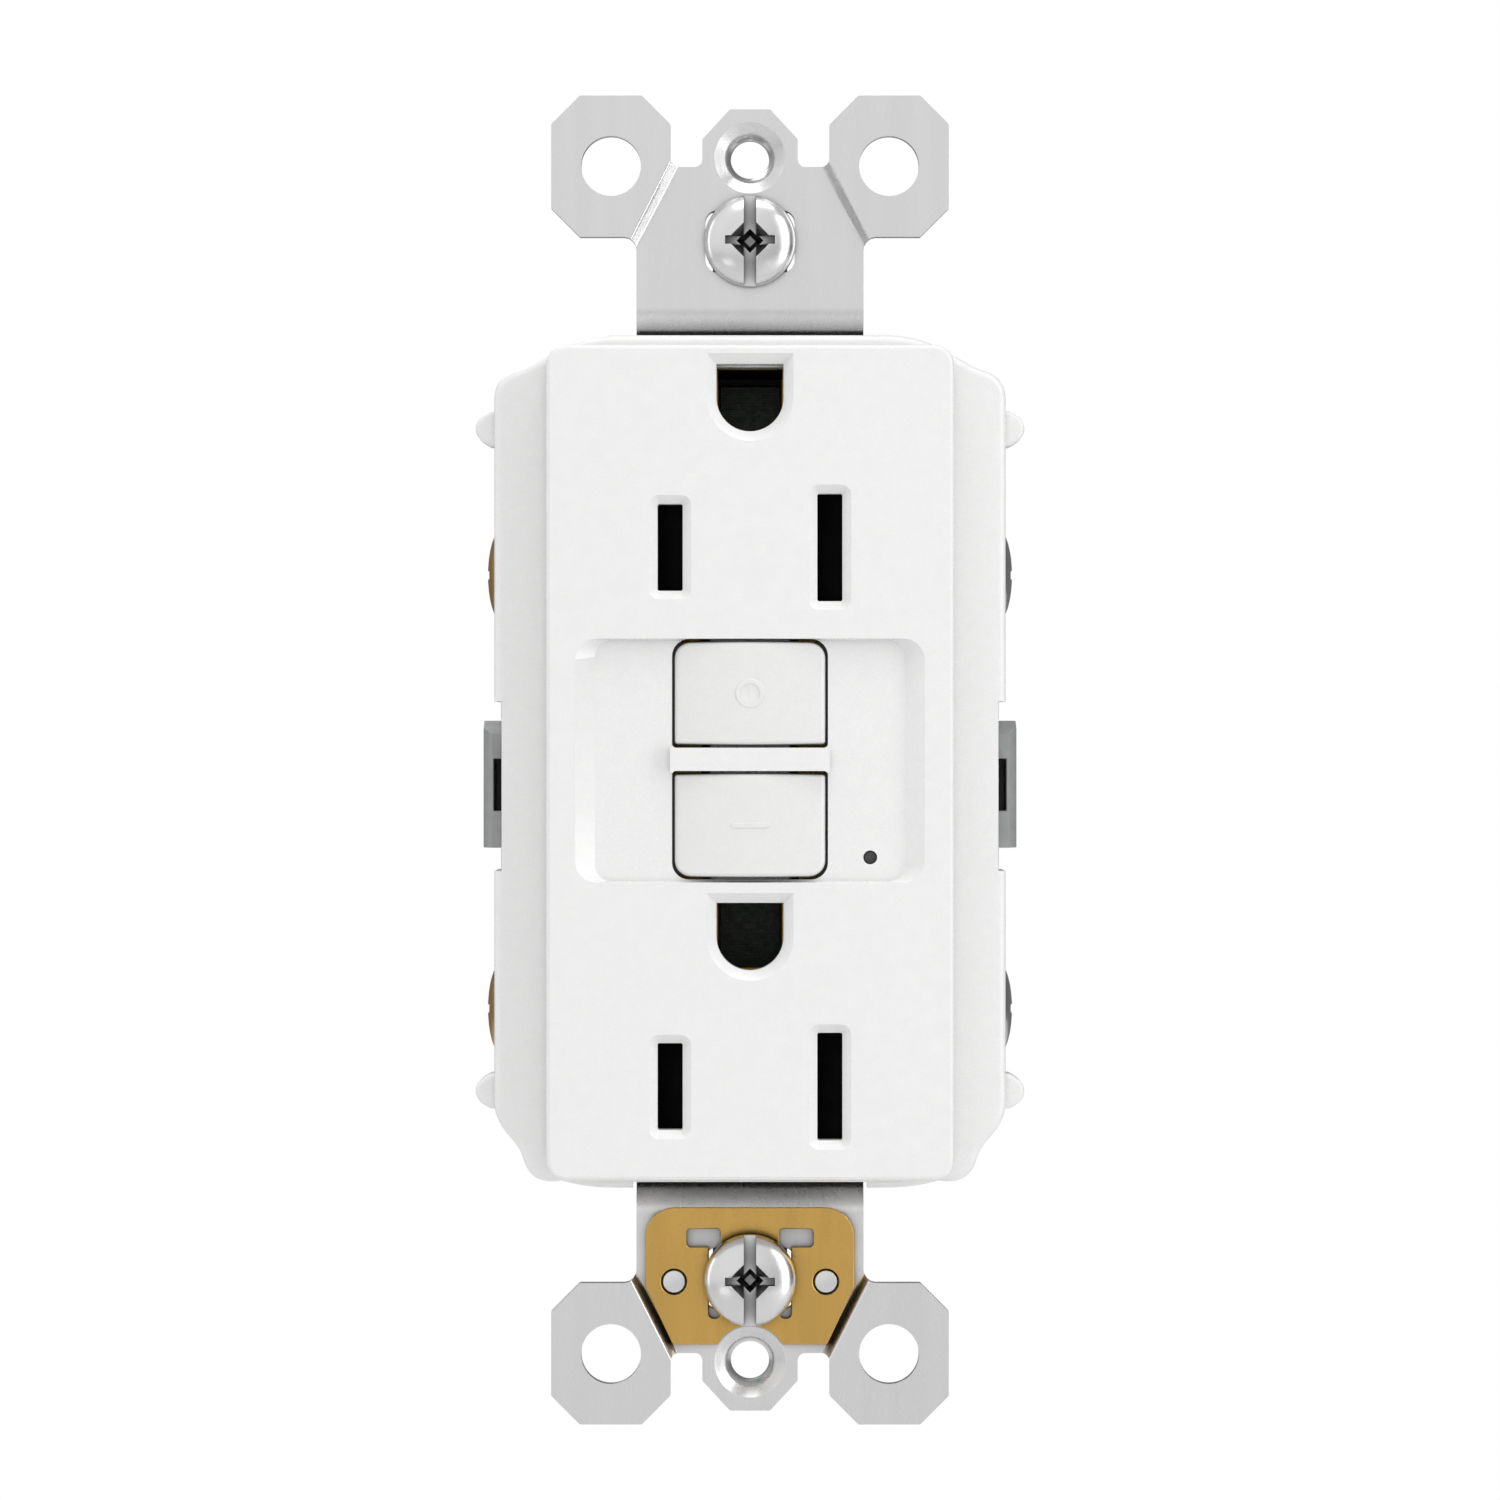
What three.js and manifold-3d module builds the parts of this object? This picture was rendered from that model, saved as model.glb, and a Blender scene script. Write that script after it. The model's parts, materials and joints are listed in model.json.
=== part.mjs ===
// A ground-fault duplex receptacle with a rectangular face.
// Millimetres. +X is to the right seen from the front, +Y goes into the wall, +Z is up.
// The origin is the middle of the device on the wall's surface, where the ears' back faces lie.

import * as THREE from 'three';
import { mergeVertices } from 'three/addons/utils/BufferGeometryUtils.js';
import Module from 'manifold-3d';

const wasm = await Module();
wasm.setup();

// ---------------------------------------------------------------- driving dimensions

// Depths along Y, front to back.
const FACE_FRONT = -6.0;
const FACE_PLATE = 2.4;
const BAY_DEPTH = 0.95;
const FLANGE_FRONT = -1.8;
const FLANGE_BACK = 0.0;
const COVER_BACK = 6.4;
const SEPARATOR_FRONT = 6.5;
const SEPARATOR_BACK = 7.6;
const BODY_FRONT = 7.7;
const BODY_BACK = 26.5;
const BODY_FLOOR = 25.0;
const BOARD_FRONT = 16.0;
const BOARD_BACK = 17.6;

// Mounting strap: a steel strip with a pair of ears at each end.
const STRAP_THICKNESS = 1.2;
const EAR_FRONT = -1.2;
const PANEL_FRONT = -0.2;
const PANEL_BACK = PANEL_FRONT + STRAP_THICKNESS;
const RUN_FRONT = 2.0;
const RUN_BACK = RUN_FRONT + STRAP_THICKNESS;
const STRAP_TOP = 53.3;
const EAR_INNER = 6.39;
const EAR_OUTER = 15.95;
const EAR_BOTTOM = 41.95;
const EAR_CHAMFER = 2.3;
const EAR_HOLE = { x: 11.15, z: 47.65, radius: 2.4 };
const PANEL_HALF_WIDTH = 9.13;
const TAB_TOP = 52.3;
const TAB_TOP_HALF_WIDTH = 1.61;
const TAB_HALF_WIDTH = 3.83;
const TAB_SHOULDER = 49.9;
const NOTCH_BOTTOM = 47.67;
const NOTCH_FILLET = 0.6;
const EAR_FILLET = 0.95;
const FOLD_ANGLE = THREE.MathUtils.degToRad(27);
const FOLD_WIDTH = 0.8;
const FOLD_POINT = { x: 5.79, z: 47.67 };
const BEND_OUTER = 36.2;
const BEND_INNER = 33.4;
const SPINE_HALF_WIDTH = 3.2;
const PLATE_SCREW_Z = 48.4;
const PLATE_SCREW = { hole: 1.55, sinkInner: 2.1, sinkOuter: 2.8, collar: 2.35 };
const BOX_SCREW_Z = 41.67;
const BOX_SLOT_HALF_WIDTH = 3.6;
const BOX_SLOT_HALF_HEIGHT = 2.5;

// Cover, separator and back body.
const COVER_HALF_WIDTH = 20.5;
const COVER_TOP = 34.06;
const COVER_BOTTOM = -34.1;
const WALL = 1.5;
const FACE_HALF_WIDTH = 16.2;
const FACE_HALF_HEIGHT = 33.0;
const FACE_CORNER = 1.6;
const BODY_HALF_WIDTH = 19.6;
const SIDE_NOTCH = { x: 19.9, top: 4.7, bottom: -8.9 };
const SNAP_BLOCK = { inner: 20.0, outer: 21.5, top: 3.17, bottom: -7.07 };
const SNAP_BUMP_Z = 26.6;
const HOUSING_SCREW = { x: 15.6, z: 28.4, radius: 1.2 };

// Outlets: two vertical blade slots 12.7 mm apart, with the ground hole above them.
const SLOT_X = 6.35;
const SLOT_WIDTH = 2.0;
const HOT_SLOT_HEIGHT = 6.9;
const NEUTRAL_SLOT_HEIGHT = 8.55;
const GROUND_RADIUS = 2.667;
const GROUND_FLAT = 2.7;
const GROUND_ABOVE_SLOTS = 11.9;
const SLOT_LEAD = 0.7;
const GROUND_LEAD = 0.8;
const OUTLETS = [
  { name: 'upper', z: 16.9 },
  { name: 'lower', z: -25.95 },
];

// Button bay, buttons and the indicator.
const BAY = { halfWidth: 13.88, top: 9.65, bottom: -9.75, slope: 1.55, corner: 1.7 };
const BUTTON_HALF_WIDTH = 6.2;
const BUTTON_GAP = 0.15;
const TEST_BUTTON = { top: 9.62, bottom: 0.98 };
const RESET_BUTTON = { top: -0.86, bottom: -9.5 };
const BUTTON_FRONT = -5.9;
const BUTTON_CORNER = 1.35;
const BUTTON_INNER_CORNER = 0.35;
const BUTTON_LIP = { front: -3.3, back: -2.2, width: 0.7 };
const INDICATOR = { x: 9.56, z: -7.74, radius: 0.55 };

// Terminals on the two sides.
const TERMINALS = [
  { name: 'line', z: 15.2 },
  { name: 'load', z: -20.5 },
];
const TERMINAL_Y = 12.4;
const TERMINAL_SCREW_RADIUS = 2.05;
const TERMINAL_HEAD_RADIUS = 3.8;

// The moving contact arms: leaf strips fixed at anchorZ that carry a contact near tipZ.
const ARM = { x: 6.2, halfWidth: 1.5, front: 11.8, back: 12.3, anchorZ: 11.0, tipZ: -9.0 };

// ---------------------------------------------------------------- materials

function material(color, roughness, metalness) {
  return new THREE.MeshStandardMaterial({ color, roughness, metalness });
}

const WHITE_PLASTIC = material(0xf0f0ee, 0.3, 0);
const GREY_PLASTIC = material(0x8d8f90, 0.5, 0);
const PALE_PLASTIC = material(0xc9cbcb, 0.5, 0);
const DARK_PLASTIC = material(0x1b1c1d, 0.5, 0);
const GALVANISED = material(0xc4c6c8, 0.4, 0.9);
const BRIGHT_STEEL = material(0xdadcde, 0.2, 1);
const BRASS = material(0xc29a55, 0.35, 1);
const GREEN_STEEL = material(0x2f7a45, 0.35, 0.8);
const COPPER = material(0xb8683a, 0.35, 1);
const BOARD_GREEN = material(0x2f6b45, 0.5, 0);
const CLEAR_PLASTIC = material(0xe6eee6, 0.1, 0);
const FIBRE = material(0xb9a98a, 0.8, 0);
const BLUE_CERAMIC = material(0x2d5fa6, 0.5, 0);

// ---------------------------------------------------------------- solids

// A closed geometry as a manifold solid that faces out.
function solid(geometry) {
  const bare = geometry.clone();
  bare.deleteAttribute('normal');
  bare.deleteAttribute('uv');
  const merged = mergeVertices(bare, 1e-4);
  const points = merged.getAttribute('position').array;
  const index = merged.getIndex().array;
  const corner = [new THREE.Vector3(), new THREE.Vector3(), new THREE.Vector3()];
  const triangles = [];
  let volume = 0;
  for (let i = 0; i < index.length; i += 3) {
    const [a, b, c] = index.slice(i, i + 3);
    if (a === b || b === c || c === a) {
      continue;
    }
    triangles.push([a, b, c]);
    corner[0].fromArray(points, a * 3);
    corner[1].fromArray(points, b * 3);
    corner[2].fromArray(points, c * 3);
    volume += corner[0].dot(corner[1].cross(corner[2]));
  }
  const facing = volume < 0 ? triangles.map(([a, b, c]) => [a, c, b]) : triangles;
  return new wasm.Manifold(new wasm.Mesh({
    numProp: 3,
    vertProperties: new Float32Array(points),
    triVerts: new Uint32Array(facing.flat()),
  }));
}

function join(...solids) {
  return solids.reduce((whole, piece) => whole.add(piece));
}

function cut(whole, ...tools) {
  return tools.reduce((rest, tool) => rest.subtract(tool), whole);
}

// An outline in the XZ plane, extruded from yFront to yBack.
function slab(shape, yFront, yBack, curveSegments = 6) {
  const depth = yBack - yFront;
  const geometry = new THREE.ExtrudeGeometry(shape, { depth, bevelEnabled: false, curveSegments });
  geometry.rotateX(Math.PI / 2);
  geometry.translate(0, yBack, 0);
  return solid(geometry);
}

// An outline in the YZ plane, extruded from xLeft to xRight.
function sideSlab(shape, xLeft, xRight, curveSegments = 6) {
  const depth = xRight - xLeft;
  const geometry = new THREE.ExtrudeGeometry(shape, { depth, bevelEnabled: false, curveSegments });
  const axes = new THREE.Matrix4().makeBasis(
    new THREE.Vector3(0, 1, 0),
    new THREE.Vector3(0, 0, 1),
    new THREE.Vector3(1, 0, 0),
  );
  geometry.applyMatrix4(axes);
  geometry.translate(xLeft, 0, 0);
  return solid(geometry);
}

// An outline in the XY plane, extruded from zLow to zHigh.
function post(shape, zLow, zHigh, curveSegments = 6) {
  const depth = zHigh - zLow;
  const geometry = new THREE.ExtrudeGeometry(shape, { depth, bevelEnabled: false, curveSegments });
  geometry.translate(0, 0, zLow);
  return solid(geometry);
}

function block(x0, x1, y0, y1, z0, z1) {
  const geometry = new THREE.BoxGeometry(x1 - x0, y1 - y0, z1 - z0);
  geometry.translate((x0 + x1) / 2, (y0 + y1) / 2, (z0 + z1) / 2);
  return solid(geometry);
}

// Turns a geometry made along Y so that it runs along another axis.
function along(axis, geometry) {
  if (axis === 'x') {
    geometry.rotateZ(-Math.PI / 2);
  }
  if (axis === 'z') {
    geometry.rotateX(Math.PI / 2);
  }
  return geometry;
}

// A round bar from one station to another along an axis, through the given point.
function rod(axis, radius, from, to, point = {}, options = {}) {
  const { endRadius = radius, sides = 16 } = options;
  const length = to - from;
  const geometry = new THREE.CylinderGeometry(endRadius, radius, length, sides);
  geometry.translate(0, (from + to) / 2, 0);
  along(axis, geometry);
  geometry.translate(point.x ?? 0, point.y ?? 0, point.z ?? 0);
  return solid(geometry);
}

// A turned piece: pairs of radius and station, closed on the axis or on itself.
function turned(axis, pairs, point = {}, sides = 16) {
  const profile = pairs.map(([radius, station]) => new THREE.Vector2(radius, station));
  const geometry = new THREE.LatheGeometry(profile, sides);
  along(axis, geometry);
  geometry.translate(point.x ?? 0, point.y ?? 0, point.z ?? 0);
  return solid(geometry);
}

function outline(points) {
  return new THREE.Shape(points.map(([u, v]) => new THREE.Vector2(u, v)));
}

// A rectangle with its corners rounded: [bottom left, bottom right, top right, top left].
function roundedRectangle(u0, u1, v0, v1, radii) {
  const [a, b, c, d] = Array.isArray(radii) ? radii : [radii, radii, radii, radii];
  const shape = new THREE.Shape();
  shape.moveTo(u0 + a, v0);
  shape.lineTo(u1 - b, v0);
  shape.absarc(u1 - b, v0 + b, b, -Math.PI / 2, 0);
  shape.lineTo(u1, v1 - c);
  shape.absarc(u1 - c, v1 - c, c, 0, Math.PI / 2);
  shape.lineTo(u0 + d, v1);
  shape.absarc(u0 + d, v1 - d, d, Math.PI / 2, Math.PI);
  shape.lineTo(u0, v0 + a);
  shape.absarc(u0 + a, v0 + a, a, Math.PI, Math.PI * 1.5);
  return shape;
}

// The same polygon with every side moved inwards; the points run clockwise.
function inset(points, distance) {
  const count = points.length;
  const sides = points.map((point, i) => {
    const next = points[(i + 1) % count];
    const run = next.clone().sub(point).normalize();
    const inward = new THREE.Vector2(run.y, -run.x);
    return { start: point.clone().addScaledVector(inward, distance), run };
  });
  return sides.map((side, i) => {
    const before = sides[(i + count - 1) % count];
    const across = before.run.cross(side.run);
    if (Math.abs(across) < 1e-6) {
      return side.start;
    }
    const between = side.start.clone().sub(before.start);
    const reach = between.cross(side.run) / across;
    return before.start.clone().addScaledVector(before.run, reach);
  });
}

function mirroredX(piece) {
  return piece.mirror([1, 0, 0]);
}

function mirroredZ(piece) {
  return piece.mirror([0, 0, 1]);
}

function bothSides(piece) {
  return piece.add(mirroredX(piece));
}

// A piece modelled on the right, kept there or mirrored to the left.
function onSide(sign, piece) {
  return sign < 0 ? mirroredX(piece) : piece;
}

// A coil spring wound along an axis, with flat-cut ends.
function spring(axis, radius, wire, from, to, turns, point = {}) {
  class Helix extends THREE.Curve {
    getPoint(t, target = new THREE.Vector3()) {
      const angle = t * turns * Math.PI * 2;
      const station = from + wire + (to - from - 2 * wire) * t;
      return target.set(radius * Math.cos(angle), station, radius * Math.sin(angle));
    }
  }
  const section = new THREE.Shape();
  section.absarc(0, 0, wire, 0, Math.PI * 2);
  const geometry = new THREE.ExtrudeGeometry(section, {
    steps: turns * 8,
    curveSegments: 2,
    bevelEnabled: false,
    extrudePath: new Helix(),
  });
  along(axis, geometry);
  geometry.translate(point.x ?? 0, point.y ?? 0, point.z ?? 0);
  return solid(geometry);
}

// ---------------------------------------------------------------- the assembly

const device = new THREE.Group();

function place(name, piece, look, position = [0, 0, 0]) {
  const mesh = piece.asOriginal().simplify(0.002).getMesh();
  const geometry = new THREE.BufferGeometry();
  geometry.setAttribute('position', new THREE.BufferAttribute(mesh.vertProperties, 3));
  geometry.setIndex(new THREE.BufferAttribute(mesh.triVerts, 1));
  geometry.computeVertexNormals();
  const node = new THREE.Mesh(geometry, look);
  node.name = name;
  node.position.set(...position);
  device.add(node);
}

// ---------------------------------------------------------------- mounting strap

// The right half of one end of the strap, from its middle line out round an ear.
function strapEndOutline() {
  const shape = new THREE.Shape();
  const chamfer = EAR_CHAMFER;
  shape.moveTo(0, BEND_OUTER);
  shape.lineTo(PANEL_HALF_WIDTH, BEND_OUTER);
  shape.lineTo(PANEL_HALF_WIDTH, EAR_BOTTOM - EAR_FILLET);
  const filletX = PANEL_HALF_WIDTH + EAR_FILLET;
  shape.absarc(filletX, EAR_BOTTOM - EAR_FILLET, EAR_FILLET, Math.PI, Math.PI / 2, true);
  shape.lineTo(EAR_OUTER - chamfer, EAR_BOTTOM);
  shape.lineTo(EAR_OUTER, EAR_BOTTOM + chamfer);
  shape.lineTo(EAR_OUTER, STRAP_TOP - chamfer);
  shape.lineTo(EAR_OUTER - chamfer, STRAP_TOP);
  shape.lineTo(EAR_INNER + chamfer, STRAP_TOP);
  shape.lineTo(EAR_INNER, STRAP_TOP - chamfer);
  const bottom = NOTCH_BOTTOM + NOTCH_FILLET;
  shape.lineTo(EAR_INNER, bottom);
  shape.absarc(EAR_INNER - NOTCH_FILLET, bottom, NOTCH_FILLET, 0, -Math.PI / 2, true);
  shape.absarc(TAB_HALF_WIDTH + NOTCH_FILLET, bottom, NOTCH_FILLET, -Math.PI / 2, -Math.PI, true);
  shape.lineTo(TAB_HALF_WIDTH, TAB_SHOULDER);
  shape.lineTo(TAB_TOP_HALF_WIDTH, TAB_TOP);
  shape.lineTo(0, TAB_TOP);
  return shape;
}

// The sheet of one half end: the panel and the ear's plane with the slanted step between them.
function foldedSheet() {
  const reach = 40;
  const earBack = EAR_FRONT + STRAP_THICKNESS;
  const section = outline([
    [-reach, PANEL_FRONT],
    [0, PANEL_FRONT],
    [FOLD_WIDTH, EAR_FRONT],
    [FOLD_WIDTH + reach, EAR_FRONT],
    [FOLD_WIDTH + reach, earBack],
    [FOLD_WIDTH, earBack],
    [0, PANEL_BACK],
    [-reach, PANEL_BACK],
  ]);
  const depth = 2 * reach;
  const geometry = new THREE.ExtrudeGeometry(section, { depth, bevelEnabled: false });
  geometry.translate(0, 0, -depth / 2);
  geometry.rotateY(-FOLD_ANGLE);
  geometry.translate(FOLD_POINT.x, 0, FOLD_POINT.z);
  return solid(geometry);
}

// Countersunk collar that takes the wall plate's screw.
function plateScrewCollar() {
  const point = { z: PLATE_SCREW_Z };
  return rod('y', PLATE_SCREW.collar, PANEL_FRONT + 0.3, PANEL_BACK + 1.3, point, { sides: 12 });
}

function plateScrewHole() {
  const point = { z: PLATE_SCREW_Z };
  const { hole, sinkInner, sinkOuter } = PLATE_SCREW;
  const cone = rod('y', sinkOuter, PANEL_FRONT - 0.01, PANEL_FRONT + 0.65, point, { endRadius: sinkInner });
  return cone.add(rod('y', hole, PANEL_FRONT - 1, PANEL_BACK + 2, point, { sides: 12 }));
}

function boxScrewSlot() {
  const x = BOX_SLOT_HALF_WIDTH;
  const z = BOX_SLOT_HALF_HEIGHT;
  const shape = roundedRectangle(-x, x, BOX_SCREW_Z - z, BOX_SCREW_Z + z, 1.0);
  return slab(shape, PANEL_FRONT - 1, PANEL_BACK + 1, 1);
}

function strapEnd() {
  const sheet = foldedSheet().intersect(slab(strapEndOutline(), -3, 3, 3));
  const earHole = rod('y', EAR_HOLE.radius, -5, 5, EAR_HOLE);
  const whole = bothSides(cut(sheet, earHole));
  return cut(join(whole, plateScrewCollar()), plateScrewHole(), boxScrewSlot());
}

// The double bend that takes the strap back under the end of the cover.
function strapBend() {
  const lean = 0.5;
  const shape = new THREE.Shape();
  shape.moveTo(PANEL_FRONT, BEND_OUTER);
  shape.bezierCurveTo(PANEL_FRONT, 34.9, RUN_FRONT, 34.5, RUN_FRONT, BEND_INNER);
  shape.lineTo(RUN_FRONT, 31.2);
  shape.lineTo(RUN_BACK, 31.2);
  shape.lineTo(RUN_BACK, BEND_INNER + lean);
  shape.bezierCurveTo(RUN_BACK, 34.5 + lean, PANEL_BACK, 34.9 + lean, PANEL_BACK, BEND_OUTER);
  return sideSlab(shape, -PANEL_HALF_WIDTH, PANEL_HALF_WIDTH, 5);
}

function strapSpine() {
  const spine = block(-SPINE_HALF_WIDTH, SPINE_HALF_WIDTH, RUN_FRONT, RUN_BACK, -31.5, 31.5);
  const pieces = OUTLETS.map((outlet) => {
    const z = outlet.z + GROUND_ABOVE_SLOTS;
    return block(-5, 5, RUN_FRONT, RUN_BACK, z - 4.6, z + 4.2);
  });
  const holes = OUTLETS.map((outlet) => {
    const z = outlet.z + GROUND_ABOVE_SLOTS;
    return block(-3.1, 3.1, 0, 5, z - 3.2, z + 3.2);
  });
  const testHole = block(-1.6, 1.6, 0, 5, testCentre() - 1.6, testCentre() + 1.6);
  const stemHole = rod('y', 1.7, 0, 5, { z: resetCentre() });
  return cut(join(spine, ...pieces), ...holes, testHole, stemHole);
}

function testCentre() {
  return (TEST_BUTTON.top + TEST_BUTTON.bottom) / 2;
}

function resetCentre() {
  return (RESET_BUTTON.top + RESET_BUTTON.bottom) / 2;
}

// Rounds on the strap that hold the grounding clip, and the lug for the ground screw.
const STAKE = { x: 6.1, z: -41.88, radius: 1.0 };
const GROUND_LUG = { x: -4.6, y: 7.2, top: -35.2, bottom: -36.4 };

function groundLug() {
  const { x, y, top, bottom } = GROUND_LUG;
  const plate = block(x - 3.9, x + 3.9, PANEL_BACK - 0.4, y + 4.2, bottom, top);
  return cut(plate, rod('z', 2.0, bottom - 1, top + 1, { x, y }));
}

function mountingStrap() {
  const top = join(strapEnd(), strapBend());
  const stake = rod('y', STAKE.radius, -0.75, 0, { x: STAKE.x, z: STAKE.z });
  return join(top, mirroredZ(top), strapSpine(), bothSides(stake), groundLug());
}

place('mounting_strap', mountingStrap(), GALVANISED);

// ---------------------------------------------------------------- grounding clip

const CLIP = { thickness: 0.6, halfWidth: 8.4, top: -35.85, bend: -39.9, bottom: -46.93, lift: 0.9 };

function groundingClip() {
  const front = PANEL_FRONT - 0.05 - CLIP.thickness;
  const back = PANEL_FRONT - 0.05;
  const section = outline([
    [front, CLIP.bottom],
    [back, CLIP.bottom],
    [back, CLIP.bend],
    [back - CLIP.lift, CLIP.top],
    [front - CLIP.lift, CLIP.top],
    [front, CLIP.bend],
  ]);
  const shape = new THREE.Shape();
  const corner = 2.4;
  shape.moveTo(6.2, CLIP.bottom);
  shape.lineTo(CLIP.halfWidth, -42.3);
  shape.lineTo(CLIP.halfWidth, CLIP.top - corner);
  shape.absarc(CLIP.halfWidth - corner, CLIP.top - corner, corner, 0, Math.PI / 2);
  shape.lineTo(corner - CLIP.halfWidth, CLIP.top);
  shape.absarc(corner - CLIP.halfWidth, CLIP.top - corner, corner, Math.PI / 2, Math.PI);
  shape.lineTo(-CLIP.halfWidth, -42.3);
  shape.lineTo(-6.2, CLIP.bottom);
  const sheet = sideSlab(section, -CLIP.halfWidth, CLIP.halfWidth).intersect(slab(shape, -5, 5));
  const foot = roundedRectangle(2.35, 5.06, -39.1, -37.58, 0.3);
  const leg = roundedRectangle(2.35, 3.3, -44.8, -38.2, 0.4);
  const slots = bothSides(join(slab(foot, -5, 5, 1), slab(leg, -5, 5, 2)));
  const screwHole = rod('y', 2.0, -5, 5, { z: -BOX_SCREW_Z });
  const ringHole = rod('y', 3.0, -5, 5, { z: -PLATE_SCREW_Z });
  const stakeHoles = bothSides(rod('y', STAKE.radius + 0.05, -5, 5, { x: STAKE.x, z: STAKE.z }));
  return cut(sheet, slots, screwHole, ringHole, stakeHoles);
}

place('grounding_clip', groundingClip(), BRASS);

// ---------------------------------------------------------------- screws

// A domed screw head, front at zero, with a slot and a cross recess; its axis is Y.
function headProfile(radius, height, rim) {
  const profile = [[0, 0]];
  const steps = 3;
  for (let i = 1; i <= steps; i += 1) {
    const angle = (i / steps) * (Math.PI / 2);
    profile.push([radius * Math.sin(angle), (height - rim) * (1 - Math.cos(angle))]);
  }
  profile.push([radius, height]);
  return profile;
}

function driveRecess(radius, depth, diamond) {
  const slot = block(-0.52, 0.52, -1, depth, -radius - 1, radius + 1);
  const arm = block(-2.0, 2.0, -1, depth, -0.34, 0.34);
  const centre = rod('y', diamond, -0.2, depth + 0.5, {}, { endRadius: 0.5, sides: 4 });
  return join(slot, arm, centre);
}

// A screw with its head's front at zero and its shank running along +Y.
function screw({ headRadius, headHeight, shankRadius, length, drive }) {
  const profile = headProfile(headRadius, headHeight, 0.45);
  const tip = headHeight + length;
  profile.push([shankRadius, headHeight], [shankRadius, tip - 0.6]);
  profile.push([shankRadius - 0.6, tip], [0, tip]);
  return cut(turned('y', profile, {}, 20), drive);
}

const BOX_SCREW = screw({
  headRadius: 3.7,
  headHeight: 2.1,
  shankRadius: 1.7,
  length: 24,
  drive: driveRecess(3.7, 1.0, 1.65),
});

const BOX_SCREW_HEAD = 2.1;
// The lower screw's head rests on the raised part of the grounding clip.
const LOWER_HEAD_BACK = PANEL_FRONT - 0.1 - CLIP.thickness - 0.55;
place('box_screw_top', BOX_SCREW, BRIGHT_STEEL, [0, PANEL_FRONT - BOX_SCREW_HEAD - 0.05, BOX_SCREW_Z]);
place('box_screw_bottom', BOX_SCREW, BRIGHT_STEEL, [0, LOWER_HEAD_BACK - BOX_SCREW_HEAD, -BOX_SCREW_Z]);

function retainingWasher() {
  const plate = block(-3.0, 3.0, PANEL_BACK + 0.1, PANEL_BACK + 0.7, -3.0, 3.0);
  return cut(plate, rod('y', 1.78, -5, 5));
}

place('retaining_washer_top', retainingWasher(), FIBRE, [0, 0, BOX_SCREW_Z]);
place('retaining_washer_bottom', retainingWasher(), FIBRE, [0, 0, -BOX_SCREW_Z]);

// The ground screw goes up into the lug, so its head faces down.
function groundScrew() {
  const washerFace = GROUND_LUG.bottom - 0.1;
  const point = { x: GROUND_LUG.x, y: GROUND_LUG.y };
  const head = rod('z', 3.6, washerFace - 1.7, washerFace, point, { sides: 6 });
  const flange = rod('z', 3.9, washerFace - 0.7, washerFace, point, { sides: 24 });
  const shank = rod('z', 1.95, washerFace - 0.5, GROUND_LUG.top + 0.6, point);
  const slot = block(-6, 6, -0.5, 0.5, washerFace - 3, washerFace - 0.8).translate([point.x, point.y, 0]);
  return cut(join(head, flange, shank), slot);
}

place('ground_screw', groundScrew(), GREEN_STEEL);

// ---------------------------------------------------------------- front cover

// The cover's outline seen from the front, clockwise from the middle of the top.
function coverPoints() {
  const right = new THREE.Path();
  right.moveTo(0, COVER_TOP);
  right.lineTo(11.1, COVER_TOP);
  right.quadraticCurveTo(13.9, 33.95, 16.2, 32.5);
  right.lineTo(17.6, 31.7);
  right.lineTo(18.9, 31.16);
  right.quadraticCurveTo(COVER_HALF_WIDTH, 30.6, COVER_HALF_WIDTH, 28.9);
  right.lineTo(COVER_HALF_WIDTH, -27.7);
  right.quadraticCurveTo(20.4, -28.9, 19.1, -30.24);
  right.quadraticCurveTo(18.3, -31.1, 18.1, -32.0);
  right.quadraticCurveTo(17.6, -33.5, 16.1, -33.55);
  right.lineTo(15.1, -33.5);
  right.quadraticCurveTo(13.2, COVER_BOTTOM, 10.9, COVER_BOTTOM);
  right.lineTo(0, COVER_BOTTOM);
  const points = right.getPoints(3);
  const left = points.slice(1, -1).reverse().map((p) => new THREE.Vector2(-p.x, p.y));
  return [...points, ...left];
}

const COVER_POINTS = coverPoints();

function coverShape(distance) {
  return new THREE.Shape(distance === 0 ? COVER_POINTS : inset(COVER_POINTS, distance));
}

// The opening for a ground pin: round below and flat above.
function groundOutline(z) {
  const shape = new THREE.Shape();
  shape.moveTo(GROUND_RADIUS, z + GROUND_FLAT);
  shape.lineTo(-GROUND_RADIUS, z + GROUND_FLAT);
  shape.lineTo(-GROUND_RADIUS, z);
  shape.absarc(0, z, GROUND_RADIUS, Math.PI, Math.PI * 2);
  return shape;
}

// A cutter for a chamfered lead-in: the outline at its foot, widening by lead at the face.
function leadIn(shape, lead, curveSegments) {
  const geometry = new THREE.ExtrudeGeometry(shape, {
    depth: 1,
    bevelEnabled: true,
    bevelThickness: lead,
    bevelSize: lead,
    bevelSegments: 1,
    curveSegments,
  });
  geometry.rotateX(Math.PI / 2);
  geometry.translate(0, FACE_FRONT, 0);
  return solid(geometry);
}

function slotOutline(x, z, height) {
  const halfWidth = SLOT_WIDTH / 2;
  return roundedRectangle(x - halfWidth, x + halfWidth, z - height / 2, z + height / 2, 0.25);
}

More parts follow.
